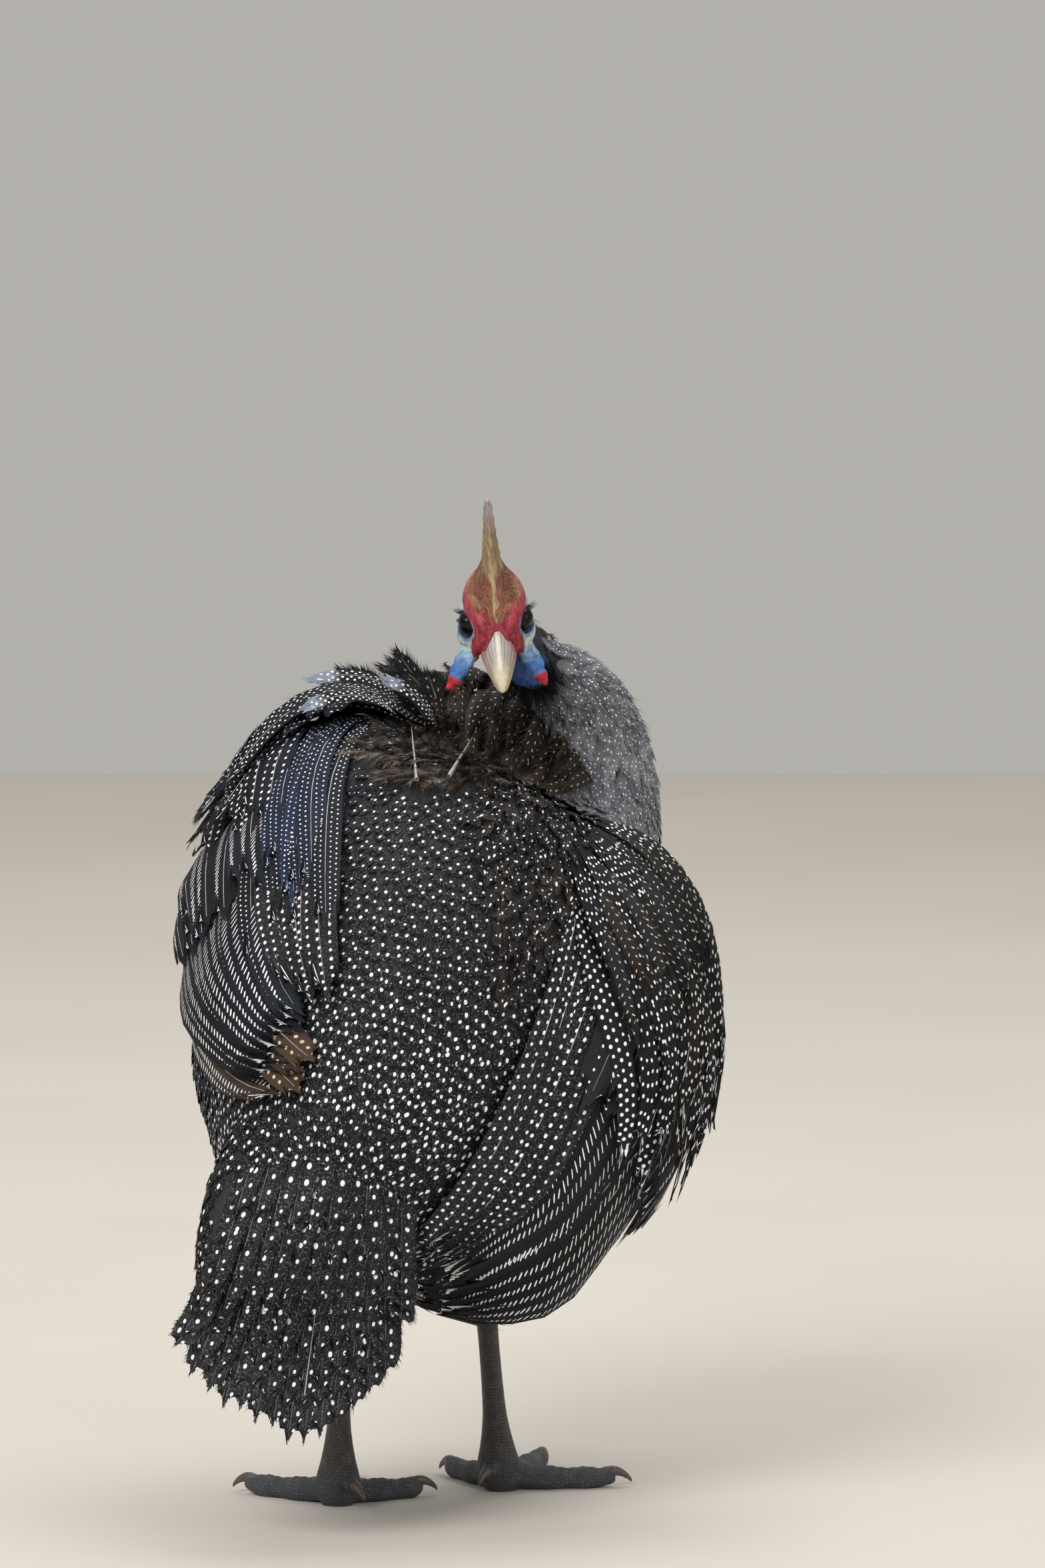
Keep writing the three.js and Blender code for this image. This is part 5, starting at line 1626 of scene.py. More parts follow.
FRAYED = Plume(
    rows=12, columns=7, outline=((0, 0.35), (0.2, 0.8), (0.5, 1), (0.8, 0.74), (1, 0.3)), cup=0.1, barbs=34,
    tip_barbs=12, barb_length=4.4, barb_half=0.17, ragged=0.1, twist=7, loose=0.14,
)
DARK = ("191a1f", "1f2026", "151518")
# Near-black feathers tinted blue: a painted blue sheen.
BLUE_SHEEN = ("172036", "1d2842", "131a2a")
NAVY = ("14161f", "181b27", "111318")
BROWN = ("332a24", "27211e", "3f342c")
TIERS = {
    "left": (
        Tier("primaries", 3, ((-14, -88), (-30, -72), (-44, -55), (-51, -30)),
             ((-14, -80), (-30, -64), (-42, -46), (-48, -27)), 12, (-5, 2, 1), Pattern.BARS, BROWN,
             shaft=1.0),
        Tier("brown_tips", 3, ((-30, -52), (-42, -36), (-51, -19)), ((-28, -44), (-38, -30), (-45, -15)), 13,
             (-3, 2.4, 2.6), Pattern.WEDGES, ("3b2b21", "463427"), shaft=0.7),
        Tier("secondaries", 12, ((16, -106), (4, -94), (-12, -78), (-28, -64), (-40, -48), (-47, -25)),
             ((14, -56), (2, -48), (-14, -41), (-27, -32), (-37, -20)), 15, (-5, 3, 3),
             Pattern.STROKES, NAVY),
        Tier("inner", 5, ((22, -54), (2, -45), (-16, -37), (-31, -25)),
             ((24, -38), (4, -31), (-16, -24), (-34, -15)), 14, (-4, 4, 3), Pattern.LINES, DARK,
             speckle=0.35),
        Tier("coverts", 11, ((36, -102), (22, -95), (6, -86), (-6, -79)),
             ((34, -58), (18, -52), (4, -46), (-8, -40)), 14, (-5, 4.6, 3.9), Pattern.STROKES, NAVY,
             slip=5),
        Tier("blue_inner", 6, ((34, -58), (14, -52), (-4, -44), (-22, -36)),
             ((36, -40), (16, -36), (-4, -29), (-22, -22)), 13, (-4, 3.5, 3.5), Pattern.DOTS, NAVY, slip=4),
        # These coverts carry the painted blue sheen.
        Tier("blue_sheen_coverts", 6, ((44, -58), (26, -53), (8, -46), (-6, -41)),
             ((44, -43), (26, -40), (8, -34), (-8, -28)), 13, (-5, 5, 4.5), Pattern.DOTS, BLUE_SHEEN, slip=6),
        Tier("upper_coverts", 10, ((46, -98), (34, -92), (16, -85)), ((44, -58), (28, -54), (10, -49)), 14,
             (-5, 6, 5.4), Pattern.LINES, NAVY, slip=5),
        # One colour here carries the painted blue sheen.
        Tier("small_coverts", 12, ((56, -94), (46, -92), (36, -87)), ((52, -44), (42, -44), (31, -42)), 11,
             (-5, 7.6, 7.4), Pattern.DOTS, BLUE_SHEEN[2:] + NAVY, slip=5),
        Tier("under_shoulder", 12, ((58, -30), (46, -52), (34, -70), (22, -80)),
             ((50, -32), (40, -44), (30, -58), (18, -68)), 13, (-4, 6, 9), Pattern.DOTS, DARK, slip=3,
             plume=FRAYED),
        Tier("shoulder", 14, ((60, -26), (47, -48), (36, -66), (23, -79)),
             ((52, -30), (42, -42), (34, -54), (24, -68)), 11, (-4, 9, 13), Pattern.DOTS, DARK, slip=4,
             plume=FRAYED),
        Tier("pale_tips", 2, ((49, -39), (45, -45), (40, -53)), ((50, -25), (46, -31), (41, -39)), 6,
             (3, 11, 15.5), Pattern.DOTS, DARK, slip=0, shaft=0.3, tip="959fb2", plume=FRAYED),
        Tier("pale_tip", 1, ((41, -35), (37, -40), (32, -47)), ((41, -35), (37, -40), (32, -47)), 6,
             (3, 10, 14), Pattern.DOTS, DARK, slip=0, shaft=0.3, tip="959fb2", plume=FRAYED),
    ),
    "right": (
        Tier("primaries", 3, ((-14, 112), (-40, 118), (-58, 129), (-66, 134)),
             ((-14, 100), (-40, 112), (-56, 124), (-64, 130)), 12, (-5, 1, 0), Pattern.BARS, BROWN),
        Tier("secondaries", 12, ((12, 104), (-8, 106), (-26, 110), (-42, 118), (-54, 129), (-62, 140)),
             ((14, 56), (-8, 61), (-28, 66), (-46, 74), (-58, 86), (-68, 100)), 17, (-5, 3, 3),
             Pattern.STROKES, DARK),
        Tier("inner", 5, ((14, 60), (-10, 62), (-32, 68), (-52, 80), (-68, 100)),
             ((10, 44), (-12, 48), (-34, 54), (-54, 64), (-70, 80)), 14, (-3, 4, 3), Pattern.LINES, DARK,
             speckle=0.4),
        Tier("tips", 7, ((-30, 112), (-48, 122), (-64, 138)), ((-34, 90), (-54, 100), (-70, 116)), 17,
             (-4, -2, -2), Pattern.LINES, DARK, speckle=0.3),
        Tier("coverts", 9, ((26, 108), (8, 106), (-10, 106), (-24, 108)),
             ((26, 56), (8, 58), (-10, 62), (-26, 67)), 18, (-5, 5.5, 6), Pattern.STROKES, DARK),
        Tier("upper_coverts", 8, ((38, 100), (22, 101), (6, 103)), ((36, 56), (18, 58), (2, 62)), 18,
             (-5, 8, 9), Pattern.BANDS, DARK),
        Tier("down", 16, ((34, 46), (24, 60), (12, 74)), ((14, 42), (0, 52), (-10, 62)), 5,
             (-4, 9, 13), Pattern.CREAM, BROWN[1:2] + DARK, slip=7, shaft=0.0, plume=FRAYED),
        Tier("under_tertials", 13, ((34, 44), (26, 60), (16, 74), (6, 88), (-6, 96)),
             ((14, 42), (0, 52), (-10, 62), (-19, 74), (-26, 85)), 10, (-4, 8, 11), Pattern.LINES,
             DARK, slip=6, shaft=0.0, plume=FRAYED),
        Tier("tertials", 17, ((38, 42), (30, 56), (20, 70), (10, 84), (-6, 96)),
             ((20, 36), (8, 46), (-2, 58), (-12, 70), (-21, 82)), 8.5, (-4, 11, 15), Pattern.BANDS,
             ("121215", "19191d", "0f0f12", "221d1a"), slip=7, shaft=0.0, plume=FRAYED),
    ),
}
ARCH = (
    Tier("arch", 26, ((67, -60), (60, -52), (55, -46)), ((60, 46), (54, 42), (49, 38)), 7, (-2, 6, 8),
         Pattern.CREAM, ("3a3029", "2c2520", "241f1c"), slip=7, plume=FRAYED, shaft=0.0),
    Tier("arch_upper", 24, ((74, -70), (68, -58), (62, -50)), ((68, 40), (62, 38), (57, 36)), 7, (-2, 6, 8),
         Pattern.CREAM, ("3a3029", "2c2520", "241f1c"), slip=7, plume=FRAYED, shaft=0.0),
)
BULGES = (Swell(-46, 120, 19, 18, 22), Swell(16, -86, 9, 20, 18))


def dressed(lat: Array, turn: Array, lift: Array = 0.0, least: Array = -9.0) -> Array:
    """Points over the body with its wing pads, the right wing's low hem and the left one's bulge.

    Args:
        lat: latitudes on the body.
        turn: turns round it.
        lift: heights over the pads, in millimetres.
        least: the least height over the body.

    Returns:
        The points.
    """
    bulge = sum(
        b.out * np.exp(-(((lat - b.lat) / b.lats) ** 2) - ((turn - b.turn) / b.turns) ** 2) for b in BULGES
    )
    return TRUNK.at(lat, turn, np.maximum(trunk_height(lat, turn) + lift, least) + bulge)


# Patterns of even rows: the first mark, the gap, and each row's shift, place across, half sizes and turn
EVEN_ROWS = {
    Pattern.DOTS: (4, 3.1, ((0, -0.72, 0.5, 0.38, 0), (1.5, -0.34, 0.5, 0.38, 0), (0, 0.34, 0.5, 0.38, 0),
                            (1.5, 0.72, 0.5, 0.38, 0))),
    Pattern.LINES: (4, 4.6, ((0, -0.6, 0.95, 0.66, 12), (2.3, 0.1, 0.95, 0.66, 12),
                             (0, 0.7, 0.95, 0.66, 12))),
    Pattern.BARS: (5, 3.0, ((0, -0.62, 1.5, 0.48, -68), (0, 0.62, 1.5, 0.48, 68))),
    Pattern.WEDGES: (4, 4.4, ((0, -0.5, 1.1, 0.75, -30), (0, 0.5, 1.1, 0.75, 30))),
}


class LargeFeathers:
    """Builds rows of large feathers with their marks and shafts."""

    def __init__(self, coat: Plumage) -> None:
        """Keeps the coat that the feathers go into."""
        self.coat = coat
        self.spots = coat.batch("large_marks", coat.white)
        self.rings = coat.batch("large_rings", coat.black)
        self.quills = coat.batch("large_shafts", coat.quill)
        self.cream = coat.batch("cream_marks", plain_finish("Cream feather barbs", "cfc4a4", 0.75, 1500, 0.2))

    def tier(self, tier: Tier, outer: int, batch: Batch) -> None:
        """Grows one row of feathers over the body, and marks them.

        Args:
            tier: the row.
            outer: 1 where the outer webs are on the bird's left of their shafts, and -1 on its right.
            batch: the piece that the webs go into.
        """
        share = np.linspace(0, 1, tier.plume.rows)
        place = np.linspace(0, 1, tier.count)[:, None, None]
        slip = RNG.uniform(-tier.slip, tier.slip, (tier.count, 1, 2)) * (0.3 + 0.7 * share[None, :, None])
        first, last = (course_of(marks, share)[None] for marks in (tier.first, tier.last))
        course = first * (1 - place) + last * place + slip
        lat, turn = course[..., 0], course[..., 1]
        lift = along(tuple(zip((0, 0.5, 1), tier.lifts)), share)[None]
        lift = lift + (np.arange(tier.count) % 3)[:, None] * 0.3
        shaft = dressed(lat, turn, lift, 0.3 * share[None] - 2)
        width = tier.width * RNG.uniform(0.92, 1.08, tier.count)
        ahead = dressed(lat + 0.6, turn) - dressed(lat - 0.6, turn)
        around = dressed(lat, turn + 0.6) - dressed(lat, turn - 0.6)
        vanes = grow_vanes(shaft, unit(np.cross(around, ahead)), width, tier.plume, tilt=2.2 * outer)
        self.finish(vanes, tier.pattern, tier.colours, tier.speckle, tier.shaft, batch, outer, tier.tip)

    def finish(
        self, vanes: Vanes, pattern: Pattern, colours: Sequence[str], speckle: float, shaft: float,
        batch: Batch, outer: int = 1, tip: str = "",
    ) -> None:
        """Adds webs, marks and shafts of feathers that have been grown.

        Args:
            vanes: the feathers.
            pattern: how their marks lie.
            colours: their ground colours.
            speckle: how strongly the ground is speckled.
            shaft: the shaft's width in millimetres, or 0 for none.
            batch: the piece that the webs go into.
            outer: the sign of the outer web's side.
            tip: the colour of pale tips, if they have them.
        """
        base = np.array([linear(c) for c in colours])[RNG.integers(0, len(colours), vanes.count)]
        base = base * RNG.uniform(0.85, 1.2, (vanes.count, 1))
        self.coat.webs(batch, vanes, np.column_stack([base, np.full(vanes.count, speckle)]), 0.8, tip)
        if shaft:
            self.coat.shafts(self.quills, vanes, shaft)
        for index in range(vanes.count):
            self.mark(vanes, index, pattern, outer)

    def mark(self, vanes: Vanes, index: int, pattern: Pattern, outer: int) -> None:
        """Lays one feather's marks by its pattern: rows of places, half length, half width and turn."""
        length = vanes.length[index]
        cream = pattern in (Pattern.WEDGES, Pattern.CREAM)
        batch, power, sides = self.cream if cream else self.spots, 1.0, 8
        rows: list[tuple[Array, ...]] = []

        def row(at: Array, across: Array, long: Array, wide: Array, turn: Array) -> None:
            """Adds a row of marks: places along and across, half lengths, half widths and turns."""
            rows.append(tuple(np.broadcast_to(v, at.shape) * 1.0 for v in (at, across, long, wide, turn)))

        if pattern is Pattern.SPOTS:
            step = np.arange(5, length - 1, 7.2)
            size = along(((0, 1.5), (0.6, 1.4), (1, 0.75)), step / length)
            for side in (-1, 1):
                row(step + 1.8 + 1.8 * side, 0.45 * side, size, size * 0.68, 0)
        elif pattern in EVEN_ROWS:
            first, gap, lines = EVEN_ROWS[pattern]
            step = np.arange(first, length - 1, gap)
            for shift, across, long, wide, turn in lines:
                row(step + shift, across, long, wide, turn)
        elif pattern is Pattern.STROKES:
            step = np.arange(5, length - 1.2, 3.0)
            late = smooth(step / length, 0.45, 1.0)
            row(step, 0.58 * outer, 2.5 - 1.5 * late, 0.25 + 0.3 * late, (46 - 22 * late) * outer)
            if outer < 0:
                row(step[::2] + 1.5, -0.4 * outer, 0.8, 0.45, 0)
            power = 0.8
        elif pattern is Pattern.BANDS:
            step = np.repeat(np.arange(0.14 * length, length - 0.5, 5.8), 4)
            across = np.tile(np.linspace(-0.78, 0.78, 4), len(step) // 4)
            row(step - 2.4 * np.abs(across) + RNG.normal(0, 0.7, len(step)), across, 0.9, 0.42, 8)
        elif pattern is Pattern.CREAM:
            step = np.arange(0.12 * length, length - 0.5, 4.4)
            for k, t in enumerate((-0.5, 0.5)):
                row(step + 2.1 * k, t, 0.8, 0.25, 24 * (2 * k - 1))
            power, sides = 0.8, 6
        for row_of_marks in rows:
            short = row_of_marks[0] + row_of_marks[2] < length - 1
            at, across, long, wide, turn = (values[short] for values in row_of_marks)
            n = len(at)
            if not n:
                continue
            s = (at + RNG.normal(0, 0.15, n)) / length
            t = across + RNG.normal(0, 0.015, n)
            size = RNG.uniform(0.86, 1.12, n)
            feather = np.full(n, index)
            lean = turn + RNG.normal(0, 3, n)
            long, wide = long * size, wide * size
            if pattern is Pattern.SPOTS:
                self.coat.marks(self.rings, vanes, feather, s, t, long + 1.1, wide + 1.1, lean, 0.06)
            self.coat.marks(batch, vanes, feather, s, t, long, wide, lean, 0.14, sides, power)


@dataclass(frozen=True)
class TailTier:
    """A row of the tail's feathers, by shares of the tail's length."""

    count: int
    start: float
    end: float
    width: float
    lift: tuple[float, float]
    shorter: float


class Tail:
    """The tail: a fan of quills under rows of spotted coverts."""

    root = np.array([-33.0, -70, 172])
    tip = np.array([-51.0, -134, 50])
    half_width = 48.0
    ridge: Marks = ((0, -101), (0.26, -122.5), (0.49, -128), (0.66, -127), (0.8, -129.5), (1.05, -135))
    depth: Marks = ((0, 30), (0.26, 25), (0.49, 15), (0.66, 9), (1, 7))
    hem: Marks = ((-1, 41), (-0.66, 17), (-0.26, 9), (0.02, 0), (0.3, 4), (0.55, 10), (0.85, 27), (1, 55))
    tiers = (
        TailTier(15, 0.56, 1.03, 14, (-2, 0.5), 21),
        TailTier(14, 0.46, 0.94, 14, (-2, 1.5), 18),
        TailTier(14, 0.36, 0.86, 14, (-2, 2), 15),
        TailTier(13, 0.27, 0.77, 14, (-2, 2.5), 12),
        TailTier(12, 0.17, 0.67, 14, (-2, 2.5), 9),
        TailTier(12, 0.07, 0.57, 14, (-2, 2.5), 7),
        TailTier(11, -0.03, 0.46, 14, (-2, 2.5), 5),
        TailTier(10, -0.12, 0.34, 14, (-2, 2.5), 4),
    )

    def __init__(self, large: LargeFeathers, coat: Plumage) -> None:
        """Keeps where the feathers go."""
        self.large, self.coat = large, coat

    def build(self) -> None:
        """Grows all rows of the tail."""
        batch = self.coat.batch("tail_feathers", self.coat.web_finish)
        plume = Plume(
            rows=12, columns=9,
            outline=((0, 0.4), (0.3, 0.85), (0.65, 1), (0.84, 0.8), (0.94, 0.48), (1, 0.12)),
            cup=0.1, barbs=26, tip_barbs=7, barb_length=2.6, barb_half=0.2, ragged=0.03, twist=2,
        )
        facing = unit(np.array([-0.12, -0.9, 0.42]))
        for number, tier in enumerate(self.tiers):
            share = np.linspace(-0.97, 0.97, tier.count)[:, None]
            step = np.linspace(0, 1, plume.rows)[None]
            down = tier.start + (tier.end - tier.start) * step
            down = down + RNG.uniform(-0.02, 0.02, (tier.count, 1)) * step
            spread = (0.62 + 0.38 * down) * share * self.half_width
            lift = tier.lift[0] + (tier.lift[1] - tier.lift[0]) * step
            fall = along(self.depth, down) * (1 - np.sqrt(1 - 0.81 * share**2))
            roof = np.maximum(fall, 12 * share**2 * smooth(down, 0.5, 0.8)) - lift
            along_y = along(self.ridge, down) + 0.25 * spread * (1 - smooth(down, 0.5, 1.0))
            hem = tier.shorter / self.tiers[0].shorter * along(self.hem, share) * step
            shaft = points_from(
                self.root[0] + (self.tip[0] - self.root[0]) * down + spread,
                along_y + roof,
                self.root[2] + (self.tip[2] - self.root[2]) * down + hem,
            )
            out = np.broadcast_to(facing + share[..., None] * np.array([0.5, 0, 0]), shaft.shape)
            width = tier.width * RNG.uniform(0.92, 1.1, tier.count)
            vanes = grow_vanes(shaft, out, width, plume, tilt=0.8)
            colours = ("232327", "28282c") if number < 2 else ("151518", "1a1a1d", "18181b")
            self.large.finish(vanes, Pattern.SPOTS, colours, 0.58, 0.25, batch)


class Ruffle:
    """The raised, ragged feathers beside the head, and the hollow's two bare quills."""

    def __init__(self, large: LargeFeathers, coat: Plumage) -> None:
        """Keeps where the feathers go."""
        self.large, self.coat = large, coat

    def build(self) -> None:
        """Grows the raised feathers and the quills."""
        batch = self.coat.batch("raised_feathers", self.coat.web_finish)
        plume = replace(FRAYED, rows=8, twist=12)
        count = 24
        place = RNG.uniform(0, 1, count)
        foot = TRUNK.at(54 + RNG.uniform(-5, 5, count), -64 + 38 * place, np.full(count, 4.0))
        course = points_from(-0.8 + 0.35 * place, RNG.uniform(-0.2, 0.1, count), 0.5 + 0.35 * place)
        course = unit(course + RNG.normal(0, 0.12, (count, 3)))
        length = 27 * RNG.uniform(0.6, 1.15, count)
        step = np.linspace(0, 1, plume.rows)
        shaft = foot[:, None] + course[:, None] * (length[:, None] * step)[..., None]
        shaft[..., 2] -= 4 * step**2
        out = np.broadcast_to(np.array([-0.2, -0.6, 0.75]), shaft.shape)
        vanes = grow_vanes(shaft, out, np.full(count, 8.0), plume, tilt=0.6)
        self.large.finish(vanes, Pattern.CREAM, BROWN[1:2] + DARK, 0.1, 0.3, batch)
        self.quills()

    def quills(self) -> None:
        """Adds two bare pale quills in the hollow of the back, and the tail's own pale shaft."""
        quills = self.coat.batch("bare_quills", self.coat.quill)
        places = (((17, -10, 4), (37, -26, 8)), ((18, -2, 6), (38, -8, 14)))
        low = np.array([TRUNK.at(*a) for a, _ in places] + [[-44.6, -135.2, 64.9]])
        high = np.array([TRUNK.at(*b) for _, b in places] + [[-40.0, -131.4, 99.4]])
        length = np.linalg.norm(high - low, axis=1)
        course, straight = unit(high - low), np.zeros(3)
        for one, width in ((slice(0, 1), 1.15), (slice(1, 2), 1.15), (slice(2, 3), 0.42)):
            bristles(quills, low[one], course[one], length[one], width, straight, "b9b3aa", 7)


def place_piece(piece: bpy.types.Object, material: bpy.types.Material, slot: Slot, *nodes: str) -> None:
    """Gives a piece its material, lets it ride, and hides the imported nodes that it stands for."""
    piece.data.materials.clear()
    piece.data.materials.append(material)
    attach(piece, "root")
    if nodes:
        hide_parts(*nodes)
    log.info("%s: %d faces", piece.name, len(piece.data.polygons))


class Casque:
    """The horn blade on the crown, rough and fibrous, with a pale ridge down its front."""

    def build(self) -> None:
        """Makes the casque with its ridge, grooves and ragged foot."""
        up = np.concatenate([np.linspace(5.5, 55, 90), np.linspace(55.4, 57.4, 8)])[:, None]
        turn = circle(72)[None]
        back, wide, long = columns(CASQUE_SECTIONS, up)
        front = np.cos(turn)
        ridge = 1.1 * np.exp(-((np.sin(turn) / 0.2) ** 2)) * (front > 0)
        fibre = 0.22 * np.sin(turn * 23 + up * 0.21) + 0.16 * np.sin(turn * 41 - up * 0.5)
        fibre = fibre + 0.2 * np.sin(up * 1.1 + 3 * turn)
        foot = 1.3 * np.sin(5 * turn + 0.6) * (1 - smooth(up, 6, 16))
        rough = (fibre + foot) * smooth(58 - up, 0, 6)
        local = points_from(
            -back + front * (long + rough) + ridge * 0.8,
            np.sin(turn) * (wide + rough * 0.8) * (1 - 0.18 * np.maximum(front, 0)),
            up - foot * 0.6,
        )
        piece = solid("casque_horn", HEAD.out(local))
        dab(piece, self.tone(*HEAD.into(points_of(piece)).T))
        place_piece(piece, self.finish(), Slot.CASQUE_HORN, "casque")

    @staticmethod
    def tone(ahead: Array, aside: Array, up: Array) -> Array:
        """Brown horn that pales to grey at the tip, tan down its front, and red at its ragged foot."""
        turn = np.arctan2(aside * 1.6, ahead + 0.23 * up)
        above = up - casque_edge(turn) + 2.2 * np.sin(13 * turn) + 1.3 * np.sin(29 * turn + 0.6 * up)
        middle = 1 - smooth(np.abs(aside), 0.6, 3.0)
        return paint(
            ground("86694a", up),
            ("a88f68", smooth(up, 18, 34) * 0.8),
            ("b9adad", smooth(up, 43, 54)),
            ("b9566a", (1 - smooth(above, -1, 4.5)) * 0.8),
            ("d0b684", middle * smooth(ahead + 0.28 * up, 6, 11) * 0.8),
        )

    def fibres(self, coat: Plumage, count: int = 1100, steps: int = 7) -> None:
        """Frays the casque's foot into tan fibres that run down over the red skin."""
        batch = coat.batch("casque_fibres", coat.web_finish, Slot.CASQUE_HORN)
        turn = RNG.normal(0, 0.6, count)
        turn = np.where(RNG.random(count) < 0.3, RNG.uniform(-math.pi, math.pi, count), turn)
        front = np.exp(-((turn / 0.26) ** 2))
        start = RNG.uniform(16.5, 27, count) - 3.5 * front
        reach = RNG.uniform(2.0, 4.0, count) + 4.0 * front
        share = np.linspace(0, 1, steps)[None]
        up = np.maximum(start[:, None] - reach[:, None] * share, 5.6)
        wave = np.sin(share * RNG.uniform(3, 9, (count, 1)) + RNG.uniform(0, 6, (count, 1)))
        over = 0.1 + 0.75 * (1 - smooth(up, 13, 17)) + 0.3 * np.sin(math.pi * share)
        line = casque_place(turn[:, None] + 0.09 * wave, up, over + RNG.uniform(-0.15, 0.1, (count, 1)))
        tans = np.array([linear(c) for c in ("b07c60", "a5745a", "c0946f", "b5606a")])
        colour = tans[RNG.integers(0, len(tans), count)]
        taper = np.sin(np.linspace(0.25, math.pi - 0.15, steps))[None] * RNG.uniform(0.05, 0.12, (count, 1))
        course = unit(np.gradient(line, axis=1))
        strands(batch, line, course, taper, colour, (0.75, 1.2), np.full(count, 5.0), 0.0)

    @staticmethod
    def finish() -> bpy.types.Material:
        """Weathered horn: long fibres, dark pits and dry pale scuffs."""
        finish = Finish("Weathered horn", 0.58, 1.54)
        tone = finish.tone().outputs["Color"]
        fibre = finish.noise(finish.place((1, 1, 0.18)), 600, 5, 0.7)
        blotch = finish.noise(finish.place(), 190, 4)
        base = finish.between(fibre, 0.36, 0.6, finish.mix(0.62, tone, linear("3a2817")), tone)
        scuff = finish.times(finish.ramp(blotch, ((0.56, 0), (0.72, 1))), 0.45)
        finish.colour(finish.mix(scuff, base, linear("d3c3a4")))
        finish.bump(fibre, 0.8, 0.0006)
        return finish.material


class Bill:
    """The two halves of the bill, reddish at the base and ivory at the tip."""

    upper: Marks = (
        (8, 7.2, 8.2, 3.2),
        (12, 7.6, 8.9, 3.4),
        (16, 7.9, 8.8, 3.4),
        (20, 7.7, 7.8, 3.5),
        (24, 7.0, 6.1, 3.6),
        (30.5, 5.3, 3.2, 4.4),
        (35.8, 3.5, -0.4, 5.6),
        (38.8, 1.9, -3.6, 6.6),
        (39.8, 0.5, -5.2, 6.4),
    )
    lower: Marks = (
        (8, 6.8, -3.7, 7.2),
        (10, 7.2, -3.75, 7.6),
        (18, 7.0, -3.75, 7.8),
        (26, 5.4, -4.15, 7.6),
        (33, 3.3, -4.95, 7.4),
        (35.8, 0.8, -5.9, 6.8),
    )

    def half(self, marks: Marks, upper: bool) -> Array:
        """Rings of one half of the bill."""
        ahead, turn = np.linspace(marks[0][0], marks[-1][0], 72)[:, None], circle(160)[None]
        wide, above, below = columns(marks, ahead)
        side = np.sign(np.cos(turn)) * np.abs(np.cos(turn)) ** 0.75
        rise = np.sin(turn)
        if upper:
            middle = -below + 1.2
            lift = np.where(rise > 0, middle + (above - middle) * np.abs(rise) ** 1.15, middle + 1.4 * rise)
            lift = lift + 0.6 * (1 - side**2) * (rise < 0)
        else:
            lift = np.where(rise > 0, above, above - (above + below) * np.abs(rise) ** 0.9)
        return HEAD.out(points_from(ahead, side * wide, lift))

    @staticmethod
    def finish() -> bpy.types.Material:
        """Bill horn: long fine fibres under a satin surface."""
        finish = Finish("Bill horn", 0.42, 1.54)
        tone = finish.tone().outputs["Color"]
        grain = finish.noise(finish.place((1, 0.3, 1)), 500, 4, 0.65)
        finish.colour(finish.between(grain, 0.38, 0.62, finish.mix(0.16, tone, linear("4a3b34")), tone))
        finish.bump(grain, 0.35, 0.0003)
        return finish.material

    @staticmethod
    def tone(a: Array, s: Array) -> Array:
        """Streaked grey horn, red at the base's sides and ivory at the tip, with a painted ivory highlight
        down the ridge.
        """
        spread = s / np.interp(a, (8, 24, 36, 40), (8, 7, 3.4, 0.8))
        waves = np.sin(31 * spread + 0.12 * a) + 0.8 * np.sin(53 * spread + 1.3 - 0.2 * a)
        streak = (waves + 0.6 * np.sin(87 * spread + 0.7 + 0.35 * np.sin(a))) / 4.8 + 0.5
        side = smooth(np.abs(s) + 0.25 * (26 - a), 4.4, 7.0) * (1 - smooth(a, 23, 31))
        # A pale ivory streak along the ridge's top: a painted highlight.
        ridge = (1 - smooth(np.abs(s + 0.2), 0.5, 1.5)) * smooth(a, 15, 22)
        return paint(
            ground("a9a39c", a),
            ("7d746f", smooth(streak, 0.45, 0.8) * 0.75 * (1 - smooth(a, 29, 36))),
            ("d6d3cb", (1 - smooth(streak, 0.15, 0.45)) * 0.6),
            ("a4575f", side * (0.5 + 0.5 * smooth(streak, 0.3, 0.7))),
            # The painted highlight down the ridge.
            ("ece5d2", ridge * 0.9),
            ("ddd3b4", smooth(a, 29, 36) * 0.8),
            ("a58c68", smooth(np.abs(spread), 0.62, 0.95) * smooth(a, 24, 30) * 0.7),
        )

    def build(self) -> None:
        """Makes both halves with one horn finish."""
        horn = self.finish()
        for name, marks, upper in (("bill_upper", self.upper, True), ("bill_lower", self.lower, False)):
            piece = solid("horn_" + name, self.half(marks, upper))
            ahead, aside, _ = HEAD.into(points_of(piece)).T
            dab(piece, self.tone(ahead, aside))
            place_piece(piece, horn, Slot.BILL_HORN, name)


EYE_RADIUS = 6.05


